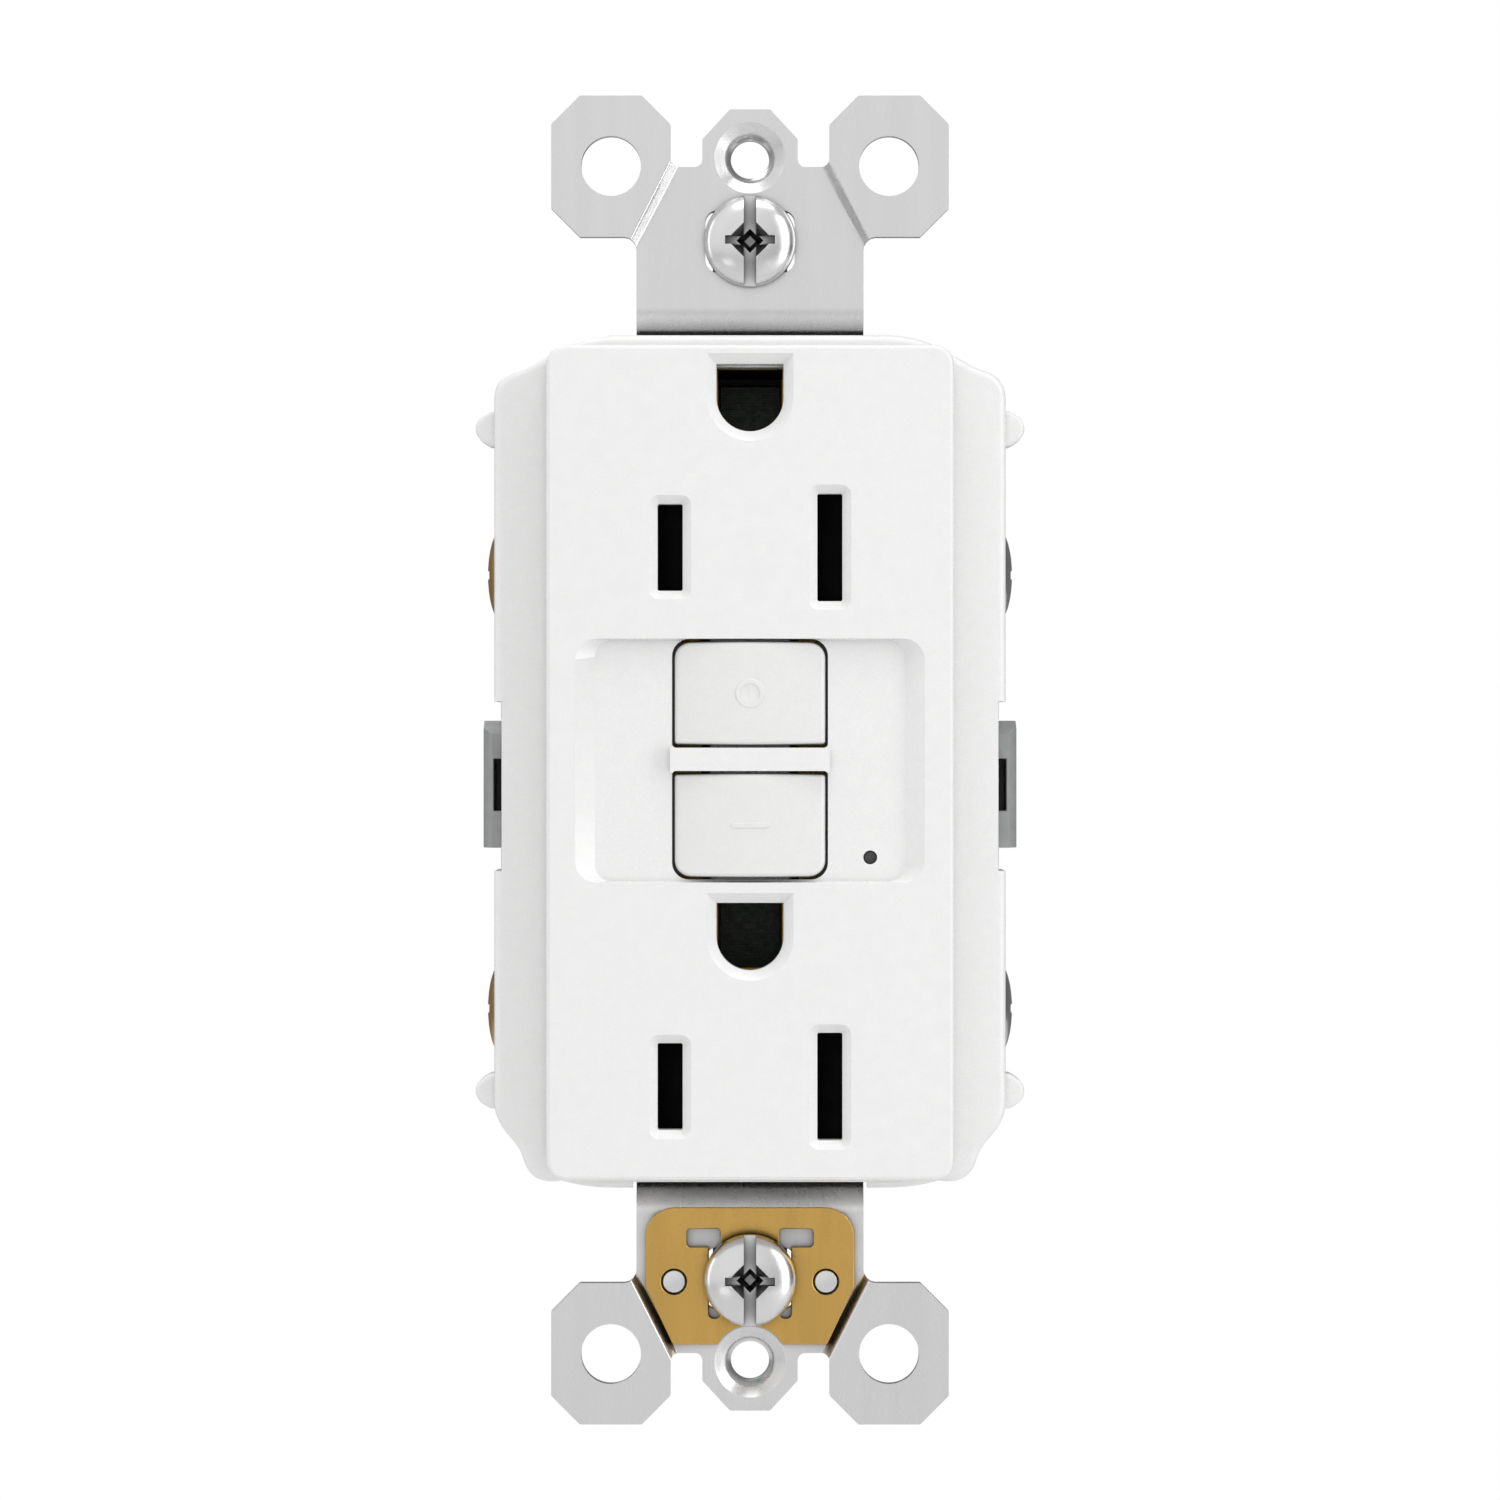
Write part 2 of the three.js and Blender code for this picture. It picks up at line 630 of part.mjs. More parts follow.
function outletOpenings(outlet) {
  const through = FACE_FRONT + FACE_PLATE + 1;
  const ground = groundOutline(outlet.z + GROUND_ABOVE_SLOTS);
  const hot = slotOutline(-SLOT_X, outlet.z, HOT_SLOT_HEIGHT);
  const neutral = slotOutline(SLOT_X, outlet.z, NEUTRAL_SLOT_HEIGHT);
  return join(
    slab(ground, FACE_FRONT - 1, through, 6),
    leadIn(ground, GROUND_LEAD, 6),
    slab(hot, FACE_FRONT - 1, through, 1),
    leadIn(hot, SLOT_LEAD, 1),
    slab(neutral, FACE_FRONT - 1, through, 1),
    leadIn(neutral, SLOT_LEAD, 1),
  );
}

// The sunk bay round the buttons: sloping at its sides, steep above and below.
function buttonBay() {
  const { halfWidth, top, bottom, slope, corner } = BAY;
  const floor = FACE_FRONT + BAY_DEPTH;
  const section = outline([
    [-halfWidth, FACE_FRONT],
    [-halfWidth, FACE_FRONT - 1],
    [halfWidth, FACE_FRONT - 1],
    [halfWidth, FACE_FRONT],
    [halfWidth - slope, floor],
    [slope - halfWidth, floor],
  ]);
  const rounded = slab(roundedRectangle(-halfWidth, halfWidth, bottom, top, corner), -8, 0, 5);
  const bay = post(section, bottom, top).intersect(rounded);
  const bar = block(
    -BUTTON_HALF_WIDTH, BUTTON_HALF_WIDTH,
    FACE_FRONT, 0,
    RESET_BUTTON.top, TEST_BUTTON.bottom,
  );
  return cut(bay, bar);
}

// Outer corners of the pair of buttons are large, and the ones facing the bar are small.
function buttonOutline(button, grow, isUpper) {
  const x = BUTTON_HALF_WIDTH - BUTTON_GAP + grow;
  const big = BUTTON_CORNER;
  const small = BUTTON_INNER_CORNER;
  const radii = isUpper ? [small, small, big, big] : [big, big, small, small];
  const low = button.bottom + BUTTON_GAP - grow;
  const high = button.top - BUTTON_GAP + grow;
  return roundedRectangle(-x, x, low, high, radii);
}

// Small triangular catch on the cover's side.
function snapBump(z) {
  const tip = COVER_HALF_WIDTH + 1.55;
  const shape = new THREE.Shape();
  shape.moveTo(COVER_HALF_WIDTH - 0.5, z + 1.45);
  shape.lineTo(COVER_HALF_WIDTH + 0.5, z + 1.4);
  shape.quadraticCurveTo(tip, z + 0.7, tip, z);
  shape.quadraticCurveTo(tip, z - 0.7, COVER_HALF_WIDTH + 0.5, z - 1.4);
  shape.lineTo(COVER_HALF_WIDTH - 0.5, z - 1.45);
  return slab(shape, -0.6, 2.6, 3);
}

// Rails that guide a shutter behind the face.
function shutterRails(outlet) {
  const rail = (z) => block(-10.4, 10.4, FACE_FRONT + FACE_PLATE - 0.2, -1.2, z, z + 0.9);
  return join(rail(outlet.z + 5.2), rail(outlet.z - 6.1));
}

function screwBosses() {
  const places = [[1, 1], [-1, 1], [1, -1], [-1, -1]];
  return places.map(([sx, sz]) => ({ x: sx * HOUSING_SCREW.x, z: sz * HOUSING_SCREW.z }));
}

function frontCover() {
  const faceShape = roundedRectangle(
    -FACE_HALF_WIDTH, FACE_HALF_WIDTH, -FACE_HALF_HEIGHT, FACE_HALF_HEIGHT, FACE_CORNER,
  );
  const face = slab(faceShape, FACE_FRONT, FLANGE_BACK, 5);
  const skirt = slab(coverShape(0), FLANGE_FRONT, COVER_BACK);
  const hollow = slab(coverShape(WALL), FLANGE_BACK, COVER_BACK + 1);
  const faceInner = FACE_HALF_WIDTH - 1.6;
  const faceHollow = block(
    -faceInner, faceInner, FACE_FRONT + FACE_PLATE, 1, 1.6 - FACE_HALF_HEIGHT, FACE_HALF_HEIGHT - 1.6,
  );
  const shell = cut(join(face, skirt), hollow, faceHollow);
  const boss = (at) => rod('y', 2.5, FLANGE_FRONT + 0.4, COVER_BACK, at, { sides: 12 });
  const bossHole = (at) => rod('y', HOUSING_SCREW.radius + 0.05, 1.0, 8, at, { sides: 12 });
  const bosses = screwBosses().map(boss);
  const bossHoles = screwBosses().map(bossHole);
  const bumps = [SNAP_BUMP_Z, -SNAP_BUMP_Z].map((z) => bothSides(snapBump(z)));
  const rails = OUTLETS.map(shutterRails);
  const openings = OUTLETS.map(outletOpenings);
  const buttons = [
    slab(buttonOutline(TEST_BUTTON, BUTTON_GAP, true), -8, 0, 5),
    slab(buttonOutline(RESET_BUTTON, BUTTON_GAP, false), -8, 0, 5),
  ];
  const indicator = rod('y', INDICATOR.radius, -8, 0, INDICATOR, { sides: 16 });
  const { x, top, bottom } = SIDE_NOTCH;
  const notch = bothSides(block(x, 25, -5, 10, bottom, top));
  const strapGap = block(-9.5, 9.5, 0.2, COVER_BACK + 1, 32.2, 36);
  const body = join(shell, ...bosses, ...bumps, ...rails);
  return cut(
    body, ...openings, buttonBay(), ...buttons, indicator, notch,
    strapGap, mirroredZ(strapGap), ...bossHoles,
  );
}

place('front_cover', frontCover(), WHITE_PLASTIC);

// ---------------------------------------------------------------- separator and back body

const TERMINAL_POCKET = { inner: 14.4, halfHeight: 4.9, depth: 17.5, wall: 1.3 };

// Calls make for each terminal: on the left and right, for the line and the load side.
function forEachTerminal(make) {
  const sides = [
    { side: 'hot', sign: -1, look: BRASS },
    { side: 'neutral', sign: 1, look: BRIGHT_STEEL },
  ];
  for (const terminal of TERMINALS) {
    for (const { side, sign, look } of sides) {
      make({ name: `${terminal.name}_${side}`, sign, look, z: terminal.z });
    }
  }
}

function separator() {
  const plate = slab(coverShape(0.2), SEPARATOR_FRONT, SEPARATOR_BACK);
  const tongue = block(-9.2, 9.2, RUN_BACK + 0.4, SEPARATOR_FRONT + 0.5, 32.8, 33.8);
  const tongues = join(tongue, mirroredZ(tongue));
  const { top, bottom } = SIDE_NOTCH;
  const notch = bothSides(block(SIDE_NOTCH.x - 0.05, 25, 0, 10, bottom + 1.7, top - 1.4));
  const holes = OUTLETS.flatMap((outlet) => {
    const groundZ = outlet.z + GROUND_ABOVE_SLOTS;
    const blade = block(SLOT_X - 1.5, SLOT_X + 1.5, 5, 10, outlet.z - 4.4, outlet.z + 4.4);
    return [bothSides(blade), block(-3.4, 3.4, 5, 10, groundZ - 3.2, groundZ + 3.2)];
  });
  const screws = screwBosses().map((at) => rod('y', 1.8, 5, 10, at, { sides: 12 }));
  const stem = rod('y', 1.7, 5, 10, { z: resetCentre() });
  const pipe = rod('y', 1.1, 5, 10, INDICATOR, { sides: 12 });
  const contact = bothSides(rod('y', 1.5, 5, 10, { x: ARM.x, z: ARM.tipZ + 1.6 }, { sides: 12 }));
  return cut(join(plate, tongues), notch, ...holes, ...screws, stem, pipe, contact);
}

place('separator', separator(), PALE_PLASTIC);

// The outline of the back body, clockwise from the left end of its top.
function bodyPoints() {
  const right = [
    [11, 33.6],
    [16, 32.2],
    [BODY_HALF_WIDTH, 29.4],
    [BODY_HALF_WIDTH, -28],
    [16, -32.2],
    [11, -33.6],
  ];
  const left = right.map(([x, z]) => [-x, z]).reverse();
  return [...right, ...left].map(([x, z]) => new THREE.Vector2(x, z));
}

// The catch on each side of the back body that hooks over the cover's edge.
function snapBlock() {
  const { inner, outer, top, bottom } = SNAP_BLOCK;
  const section = outline([
    [BODY_HALF_WIDTH - 0.3, BODY_FRONT + 1.0],
    [inner, BODY_FRONT + 0.4],
    [inner, 0.4],
    [outer - 0.7, 0.4],
    [outer, 1.6],
    [outer, 13],
    [BODY_HALF_WIDTH - 0.3, 15],
  ]);
  const body = post(section, bottom, top);
  const bevel = sideSlab(outline([[0.3, top + 0.1], [0.3, top - 1.1], [3.2, top + 0.1]]), 19, 23);
  const window = block(inner - 0.1, inner + 0.65, 0, 6, -4.1, 0.1);
  return cut(body, window, bevel);
}

function backBody() {
  const points = bodyPoints();
  const outer = slab(new THREE.Shape(points), BODY_FRONT, BODY_BACK);
  const hollow = slab(new THREE.Shape(inset(points, 1.4)), BODY_FRONT - 1, BODY_FLOOR);
  const { inner, halfHeight, depth, wall } = TERMINAL_POCKET;
  const outside = BODY_HALF_WIDTH + 1;
  const walls = [];
  const spaces = [];
  forEachTerminal(({ sign, z }) => {
    const turn = (piece) => onSide(sign, piece);
    const h = halfHeight + wall;
    walls.push(turn(block(inner - wall, BODY_HALF_WIDTH, BODY_FRONT, depth + wall, z - h, z + h)));
    spaces.push(turn(block(inner, outside, BODY_FRONT - 1, depth, z - halfHeight, z + halfHeight)));
    spaces.push(turn(block(inner - 3, inner + 1, BODY_FRONT - 1, 9.1, z - 2.4, z + 2.4)));
    spaces.push(turn(rod('x', 2.5, inner - 3, inner + 1, { y: TERMINAL_Y, z })));
    for (const lift of [-2.6, 2.6]) {
      spaces.push(turn(rod('y', 1.4, depth - 1, BODY_BACK + 1, { x: 17.05, z: z + lift }, { sides: 8 })));
    }
  });
  const tubes = screwBosses().map((at) => rod('y', 2.9, BODY_FRONT, BODY_BACK, at, { sides: 12 }));
  const bores = screwBosses().flatMap((at) => [
    rod('y', 1.5, BODY_FRONT - 1, BODY_BACK + 1, at, { sides: 12 }),
    rod('y', 2.5, BODY_BACK - 1.6, BODY_BACK + 1, at, { sides: 12 }),
  ]);
  const shell = cut(outer, hollow);
  return cut(join(shell, bothSides(snapBlock()), ...walls, ...tubes), ...spaces, ...bores);
}

place('back_body', backBody(), GREY_PLASTIC);

// Long screws from behind, through the back body and separator into the cover.
const HOUSING_HEAD = { radius: 2.3, height: 1.4 };

function housingScrew() {
  const back = BODY_BACK - 0.1;
  const neck = back - HOUSING_HEAD.height;
  const profile = [
    [0, 2.4],
    [HOUSING_SCREW.radius - 0.5, 2.4],
    [HOUSING_SCREW.radius, 3.2],
    [HOUSING_SCREW.radius, neck],
    [HOUSING_HEAD.radius, neck],
    [HOUSING_HEAD.radius, back - 0.4],
    [HOUSING_HEAD.radius - 0.5, back],
    [0, back],
  ];
  const cross = join(
    block(-0.35, 0.35, back - 0.9, back + 1, -1.5, 1.5),
    block(-1.5, 1.5, back - 0.9, back + 1, -0.35, 0.35),
  );
  return cut(turned('y', profile, {}, 12), cross);
}

screwBosses().forEach(({ x, z }, i) => {
  place(`housing_screw_${i + 1}`, housingScrew(), BRIGHT_STEEL, [x, 0, z]);
});

// ---------------------------------------------------------------- buttons and their parts

// A cap, slightly crowned across its width, with a lip that stops it leaving the cover.
function buttonCap(button, isUpper) {
  const rise = 0.18;
  const edge = BUTTON_HALF_WIDTH;
  const crown = new THREE.Shape();
  crown.moveTo(-edge, BUTTON_LIP.back);
  crown.lineTo(-edge, BUTTON_FRONT + rise);
  crown.quadraticCurveTo(0, BUTTON_FRONT - rise, edge, BUTTON_FRONT + rise);
  crown.lineTo(edge, BUTTON_LIP.back);
  const cap = post(crown, button.bottom, button.top, 8);
  const stemShape = buttonOutline(button, 0, isUpper);
  const shaft = slab(stemShape, FACE_FRONT - 1, BUTTON_LIP.back, 4).intersect(cap);
  const lip = block(
    -BUTTON_HALF_WIDTH - BUTTON_LIP.width, BUTTON_HALF_WIDTH + BUTTON_LIP.width,
    BUTTON_LIP.front, BUTTON_LIP.back, button.bottom + 0.3, button.top - 0.3,
  );
  return join(shaft, lip);
}

function testButton() {
  const z = testCentre();
  const foot = block(-1.0, 1.0, BUTTON_LIP.back - 0.2, 4.2, z - 1.0, z + 1.0);
  return join(buttonCap(TEST_BUTTON, true), foot);
}

place('test_button', testButton(), WHITE_PLASTIC);

// A socket behind the reset button's cap grips the latch pin.
const LATCH_PIN = {
  radius: 1.2,
  neck: 1.05,
  shoulder: 1.9,
  front: -1.6,
  latchFront: 18.2,
  latchBack: 19.6,
};

function resetButton() {
  const z = resetCentre();
  const socket = rod('y', 2.1, BUTTON_LIP.back - 0.1, -0.9, { z });
  const bore = rod('y', LATCH_PIN.radius + 0.05, LATCH_PIN.front - 0.1, 0, { z });
  return cut(join(buttonCap(RESET_BUTTON, false), socket), bore);
}

place('reset_button', resetButton(), WHITE_PLASTIC);

function latchPin() {
  const { radius, neck, shoulder, front, latchFront, latchBack } = LATCH_PIN;
  const profile = [
    [0, front],
    [radius, front],
    [radius, latchFront - 0.4],
    [neck, latchFront - 0.2],
    [neck, latchBack],
    [shoulder, latchBack],
    [shoulder, latchBack + 0.7],
    [0.6, latchBack + 3.2],
    [0, latchBack + 3.2],
  ];
  return turned('y', profile, { z: resetCentre() });
}

place('latch_pin', latchPin(), BRIGHT_STEEL);
const RESET_SPAN = [-0.6, RUN_FRONT - 0.05];
place('reset_spring', spring('y', 1.85, 0.25, ...RESET_SPAN, 3, { z: resetCentre() }), BRIGHT_STEEL);

// A springy strip that the test button's foot pushes against a resistor lead.
function testBlade() {
  const z = testCentre();
  const strip = block(-1.2, 1.2, 5.6, 5.95, z - 1.6, z + 7.5);
  const foot = block(-1.2, 1.2, 5.6, SEPARATOR_FRONT - 0.05, z + 6.0, z + 7.5);
  return join(strip, foot);
}

place('test_contact_blade', testBlade(), COPPER);

// ---------------------------------------------------------------- shutters

const SHUTTER = { front: -3.3, back: -1.5, halfHeight: 4.9, left: -11.4, right: 10.2, travel: 2.8 };

// A sliding plate whose windows line up with the blade slots once it has moved across.
function shutter(outlet) {
  const { front, back, halfHeight, left, right, travel } = SHUTTER;
  const plate = block(left, right, front, back, outlet.z - halfHeight, outlet.z + halfHeight);
  const windows = [-SLOT_X, SLOT_X].map((x) => {
    const low = x - SLOT_WIDTH / 2 - 0.2 - travel;
    return block(low, low + SLOT_WIDTH + 0.4, -5, 0, outlet.z - 4.4, outlet.z + 4.4);
  });
  const ramps = [-SLOT_X, SLOT_X].map((x) => {
    const section = outline([
      [x - 1.4, front - 0.1],
      [x + 1.6, front - 0.1],
      [x - 1.4, front + 1.0],
    ]);
    return post(section, outlet.z - 4.4, outlet.z + 4.4);
  });
  const middle = { y: (front + back) / 2, z: outlet.z };
  const peg = rod('x', 0.5, right - 0.1, right + 1.4, middle, { sides: 10 });
  return join(cut(plate, ...windows, ...ramps), peg);
}

for (const outlet of OUTLETS) {
  const middle = { y: (SHUTTER.front + SHUTTER.back) / 2, z: outlet.z };
  place(`${outlet.name}_shutter`, shutter(outlet), DARK_PLASTIC);
  const coil = spring('x', 0.8, 0.15, SHUTTER.right + 0.1, FACE_HALF_WIDTH - 1.7, 4, middle);
  place(`${outlet.name}_shutter_spring`, coil, BRIGHT_STEEL);
}

// ---------------------------------------------------------------- contacts

// A bar behind the face with a pair of spring leaves at each blade slot, and a fixed contact
// that reaches back to the moving arm.
function faceContact() {
  const bar = block(3.9, 8.3, 5.3, 6.3, OUTLETS[1].z - 4.6, OUTLETS[0].z + 4.6);
  const openings = OUTLETS.map(({ z }) => block(SLOT_X - 0.9, SLOT_X + 0.9, 5, 7, z - 4.0, z + 4.0));
  const leaf = outline([[0.9, 5.5], [0.72, 2.4], [1.25, 0.9], [1.75, 0.9], [1.3, 2.5], [1.5, 5.5]]);
  const leaves = OUTLETS.flatMap(({ z }) => {
    const right = post(leaf, z - 2.6, z + 2.6);
    return [right.translate([SLOT_X, 0, 0]), mirroredX(right).translate([SLOT_X, 0, 0])];
  });
  const fixedContact = rod('y', 1.1, 6.2, ARM.front - 0.8, { x: ARM.x, z: ARM.tipZ + 1.6 }, { sides: 14 });
  return join(cut(bar, ...openings), ...leaves, fixedContact);
}

place('hot_face_contact', mirroredX(faceContact()), BRASS);
place('neutral_face_contact', faceContact(), BRASS);

// A riveted plate on the strap with two leaves that grip the ground pin.
function groundContact(outlet) {
  const z = outlet.z + GROUND_ABOVE_SLOTS;
  const plate = block(-4.6, 4.6, RUN_BACK + 0.05, RUN_BACK + 0.75, z - 4.2, z + 4.0);
  const opening = block(-2.6, 2.6, 2, 5, z - 2.8, z + 2.8);
  const leaf = outline([
    [2.6, 3.5],
    [2.7, 8.0],
    [2.4, 10.2],
    [2.9, 12.0],
    [3.3, 12.0],
    [3.0, 10.2],
    [3.3, 8.0],
    [3.2, 3.5],
  ]);
  return join(cut(plate, opening), bothSides(post(leaf, z - 2.2, z + 2.2)));
}

for (const outlet of OUTLETS) {
  place(`${outlet.name}_ground_contact`, groundContact(outlet), BRASS);
}

// ---------------------------------------------------------------- terminals

const TERMINAL_BAR = { inner: 15.1, outer: 15.9 };
const CLAMP = { inner: 17.9, outer: 19.0 };

// Every terminal piece is made for the right side, at z = 0, then mirrored and lifted.
function terminalPiece(piece, sign, z) {
  return onSide(sign, piece).translate([0, 0, z]);
}

function terminalBar() {
  const { inner, outer } = TERMINAL_BAR;
  const leg = block(inner, outer, 8.0, 16.6, -4.0, 4.0);
  const tail = block(9.2, inner + 0.2, 8.0, 8.8, -2.1, 2.1);
  return cut(join(leg, tail), rod('x', TERMINAL_SCREW_RADIUS + 0.06, 10, 20, { y: TERMINAL_Y }));
}

// A pressure plate with grooves that bite on the wire.
function clampPlate() {
  const { inner, outer } = CLAMP;
  const plate = block(inner, outer, 8.7, 16.3, -4.2, 4.2);
  const grooves = [-3.0, 3.0].map((z) => block(inner - 0.5, inner + 0.3, 8, 17, z - 0.5, z + 0.5));
  return cut(plate, ...grooves, rod('x', TERMINAL_SCREW_RADIUS + 0.12, 10, 20, { y: TERMINAL_Y }));
}

function terminalScrew() {
  const face = CLAMP.outer + 0.1;
  const top = face + 2.65;
  const profile = [
    [0, 12.4],
    [TERMINAL_SCREW_RADIUS, 12.4],
    [TERMINAL_SCREW_RADIUS, face],
    [TERMINAL_HEAD_RADIUS, face],
    [TERMINAL_HEAD_RADIUS, face + 1.0],
    [TERMINAL_HEAD_RADIUS - 0.9, face + 2.1],
    [0, top],
  ];
  const slot = block(top - 1.3, top + 1, TERMINAL_Y - 5, TERMINAL_Y + 5, -0.5, 0.5);
  const cross = block(top - 1.3, top + 1, TERMINAL_Y - 0.4, TERMINAL_Y + 0.4, -2.1, 2.1);
  return cut(turned('x', profile, { y: TERMINAL_Y }, 16), slot, cross);
}

forEachTerminal(({ name, sign, look, z }) => {
  place(`${name}_terminal_bar`, terminalPiece(terminalBar(), sign, z), BRASS);
  place(`${name}_clamp_plate`, terminalPiece(clampPlate(), sign, z), BRASS);
  place(`${name}_terminal_screw`, terminalPiece(terminalScrew(), sign, z), look);
});

// ---------------------------------------------------------------- circuit board and electronics

const LATCH_Z = resetCentre();

function circuitBoard() {
  const board = block(-12.4, 12.4, BOARD_FRONT, BOARD_BACK, -31, 31);
  const latchHole = block(-4.2, 4.2, 15, 19, LATCH_Z - 4.2, LATCH_Z + 4.2);
  return cut(board, latchHole, rod('y', 3.6, 15, 19, { z: COIL_Z }));
}

// Two toroids in a round case, with the line conductors passing through them.
const COIL_Z = -22.0;

function ring(inner, outer, y0, y1) {
  return turned('y', [[inner, y0], [outer, y0], [outer, y1], [inner, y1], [inner, y0]], { z: COIL_Z }, 20);
}

function coilCase() {
  const tube = ring(8.2, 8.9, BOARD_BACK + 0.1, 24.8);
  const floor = ring(3.9, 8.9, 24.2, 24.8);
  return join(tube, floor);
}

place('circuit_board', circuitBoard(), BOARD_GREEN);
place('coil_case', coilCase(), DARK_PLASTIC);
place('sensing_coil', ring(4.3, 8.0, BOARD_BACK + 0.2, 20.7), COPPER);
place('neutral_coil', ring(4.3, 8.0, 20.9, 24.0), COPPER);

function lineConductor(sign) {
  const bar = block(0.5, 1.9, 13.0, 24.9, COIL_Z - 1.0, COIL_Z + 1.0);
  const arm = block(0.5, 8.0, 13.0, 14.0, COIL_Z - 1.0, COIL_Z + 1.0);
  return onSide(sign, join(bar, arm));
}

place('hot_line_conductor', lineConductor(-1), COPPER);
place('neutral_line_conductor', lineConductor(1), COPPER);

// The trip solenoid: its plunger runs along Z and pulls the latch plate off the pin's shoulder.
const SOLENOID = { y: 21.3, low: 0.8, high: 15.0 };

function bobbin() {
  const { y, low, high } = SOLENOID;
  const profile = [
    [1.75, low],
    [3.4, low],
    [3.4, low + 0.7],
    [2.2, low + 0.7],
    [2.2, high - 0.7],
    [3.4, high - 0.7],
    [3.4, high],
    [1.75, high],
    [1.75, low],
  ];
  return turned('z', profile, { y });
}

function winding() {
  const { y, low, high } = SOLENOID;
  const [inner, outer] = [2.3, 3.2];
  const [start, end] = [low + 0.8, high - 0.8];
  const profile = [[inner, start], [outer, start], [outer, end], [inner, end], [inner, start]];
  return turned('z', profile, { y }, 16);
}

// The plunger's head pulls on the latch plate's tab; its far end bears on the return spring.
const PLUNGER = { headLow: -2.3, headHigh: -1.6, shoulder: 10.4, end: 12.6 };

function plunger() {
  const { y } = SOLENOID;
  const { headLow, headHigh, shoulder, end } = PLUNGER;
  return join(
    rod('z', 1.95, headLow, headHigh, { y }),
    rod('z', 1.6, headHigh - 0.1, shoulder, { y }),
    rod('z', 0.75, shoulder - 0.1, end, { y }, { sides: 12 }),
  );
}

const LATCH_TRAVEL = 1.3;
const LATCH_PLATE = { halfWidth: 3.4, front: 18.35, back: 19.25, low: LATCH_Z - 4.6, high: -0.7 };

// A plate with a keyhole: its narrow end holds the latch pin and its wide end lets it go.
function latchPlate() {
  const { halfWidth, front, back, low, high } = LATCH_PLATE;
  const plate = block(-halfWidth, halfWidth, front, back, low, high);
  const tab = block(-2.8, 2.8, front, 23.6, high - 0.8, high);
  const notch = block(-1.7, 1.7, SOLENOID.y - 1.7, 25, high - 1, high + 1);
  const narrow = rod('y', LATCH_PIN.neck + 0.3, 15, 22, { z: LATCH_Z });
  const wide = rod('y', LATCH_PIN.shoulder + 0.2, 15, 22, { z: LATCH_Z - LATCH_TRAVEL });
  return cut(join(plate, tab), notch, narrow, wide);
}

function solenoidFrame() {
  const { low, high } = SOLENOID;
  const side = block(3.6, 4.4, BOARD_BACK + 0.1, 24.6, low + 0.1, high + 0.9);
  const end = block(-3.2, 3.7, BOARD_BACK + 0.3, 24.6, high + 0.1, high + 0.9);
  return join(side, end);
}

place('solenoid_bobbin', bobbin(), DARK_PLASTIC);
place('solenoid_winding', winding(), COPPER);
place('solenoid_frame', solenoidFrame(), BRIGHT_STEEL);
place('plunger', plunger(), BRIGHT_STEEL);
place('latch_plate', latchPlate(), BRIGHT_STEEL);
const RETURN_SPAN = [PLUNGER.shoulder + 0.1, SOLENOID.high + 0.05];
place('plunger_spring', spring('z', 1.2, 0.18, ...RETURN_SPAN, 4, { y: SOLENOID.y }), BRIGHT_STEEL);

// The lifter holds both moving contact arms forward until the latch lets it drop back.
function contactLifter() {
  const crossbar = block(-7.6, 7.6, ARM.back + 0.1, 13.8, LATCH_Z - 1.2, LATCH_Z + 1.2);
  const hub = rod('y', 2.9, ARM.back + 0.1, 15.6, { z: LATCH_Z });
  return cut(join(crossbar, hub), rod('y', 1.5, 10, 20, { z: LATCH_Z }));
}

place('contact_lifter', contactLifter(), PALE_PLASTIC);

function contactArm(sign) {
  const { x, halfWidth, front, back, anchorZ, tipZ } = ARM;
  const strip = block(x - halfWidth, x + halfWidth, front, back, tipZ, anchorZ);
  const button = rod('y', 1.1, front - 0.7, front + 0.1, { x, z: tipZ + 1.6 }, { sides: 14 });
  return onSide(sign, join(strip, button));
}

// A bridge on the board carries the arms' fixed ends.
function armBridge() {
  const { x, halfWidth, back, anchorZ } = ARM;
  const reach = x + halfWidth;
  return block(-reach, reach, back + 0.1, BOARD_FRONT - 0.05, anchorZ - 1.2, anchorZ);
}

place('hot_contact_arm', contactArm(-1), COPPER);
place('neutral_contact_arm', contactArm(1), COPPER);
place('arm_bridge', armBridge(), DARK_PLASTIC);

// Electronic parts on the back of the board.
const ON_BOARD = BOARD_BACK + 0.05;
const SURGE_DISC = rod('y', 4.2, ON_BOARD, ON_BOARD + 3.2, { x: 8.0, z: 24.5 }, { sides: 24 });
place('surge_disc', SURGE_DISC, BLUE_CERAMIC);
place('capacitor', rod('z', 3.0, 20.5, 28.5, { x: -8.0, y: ON_BOARD + 3.05 }), DARK_PLASTIC);
place('control_chip', block(-10.6, -6.6, ON_BOARD, ON_BOARD + 1.6, 3.0, 9.4), DARK_PLASTIC);

// The indicator lamp on the board's front, and the clear rod that leads its light to the face.
function lightPipe() {
  const point = { x: INDICATOR.x, z: INDICATOR.z };
  const tip = FACE_FRONT + BAY_DEPTH + 0.25;
  const rodEnd = rod('y', INDICATOR.radius - 0.06, tip, -2.9, point, { sides: 16 });
  return join(rodEnd, rod('y', 0.9, -3.0, 13.0, point, { sides: 16 }));
}

place('light_pipe', lightPipe(), CLEAR_PLASTIC);
const LAMP = { x: INDICATOR.x, z: INDICATOR.z };
place('indicator_lamp', rod('y', 1.3, 13.2, BOARD_FRONT - 0.05, LAMP, { sides: 16 }), CLEAR_PLASTIC);

export default device;
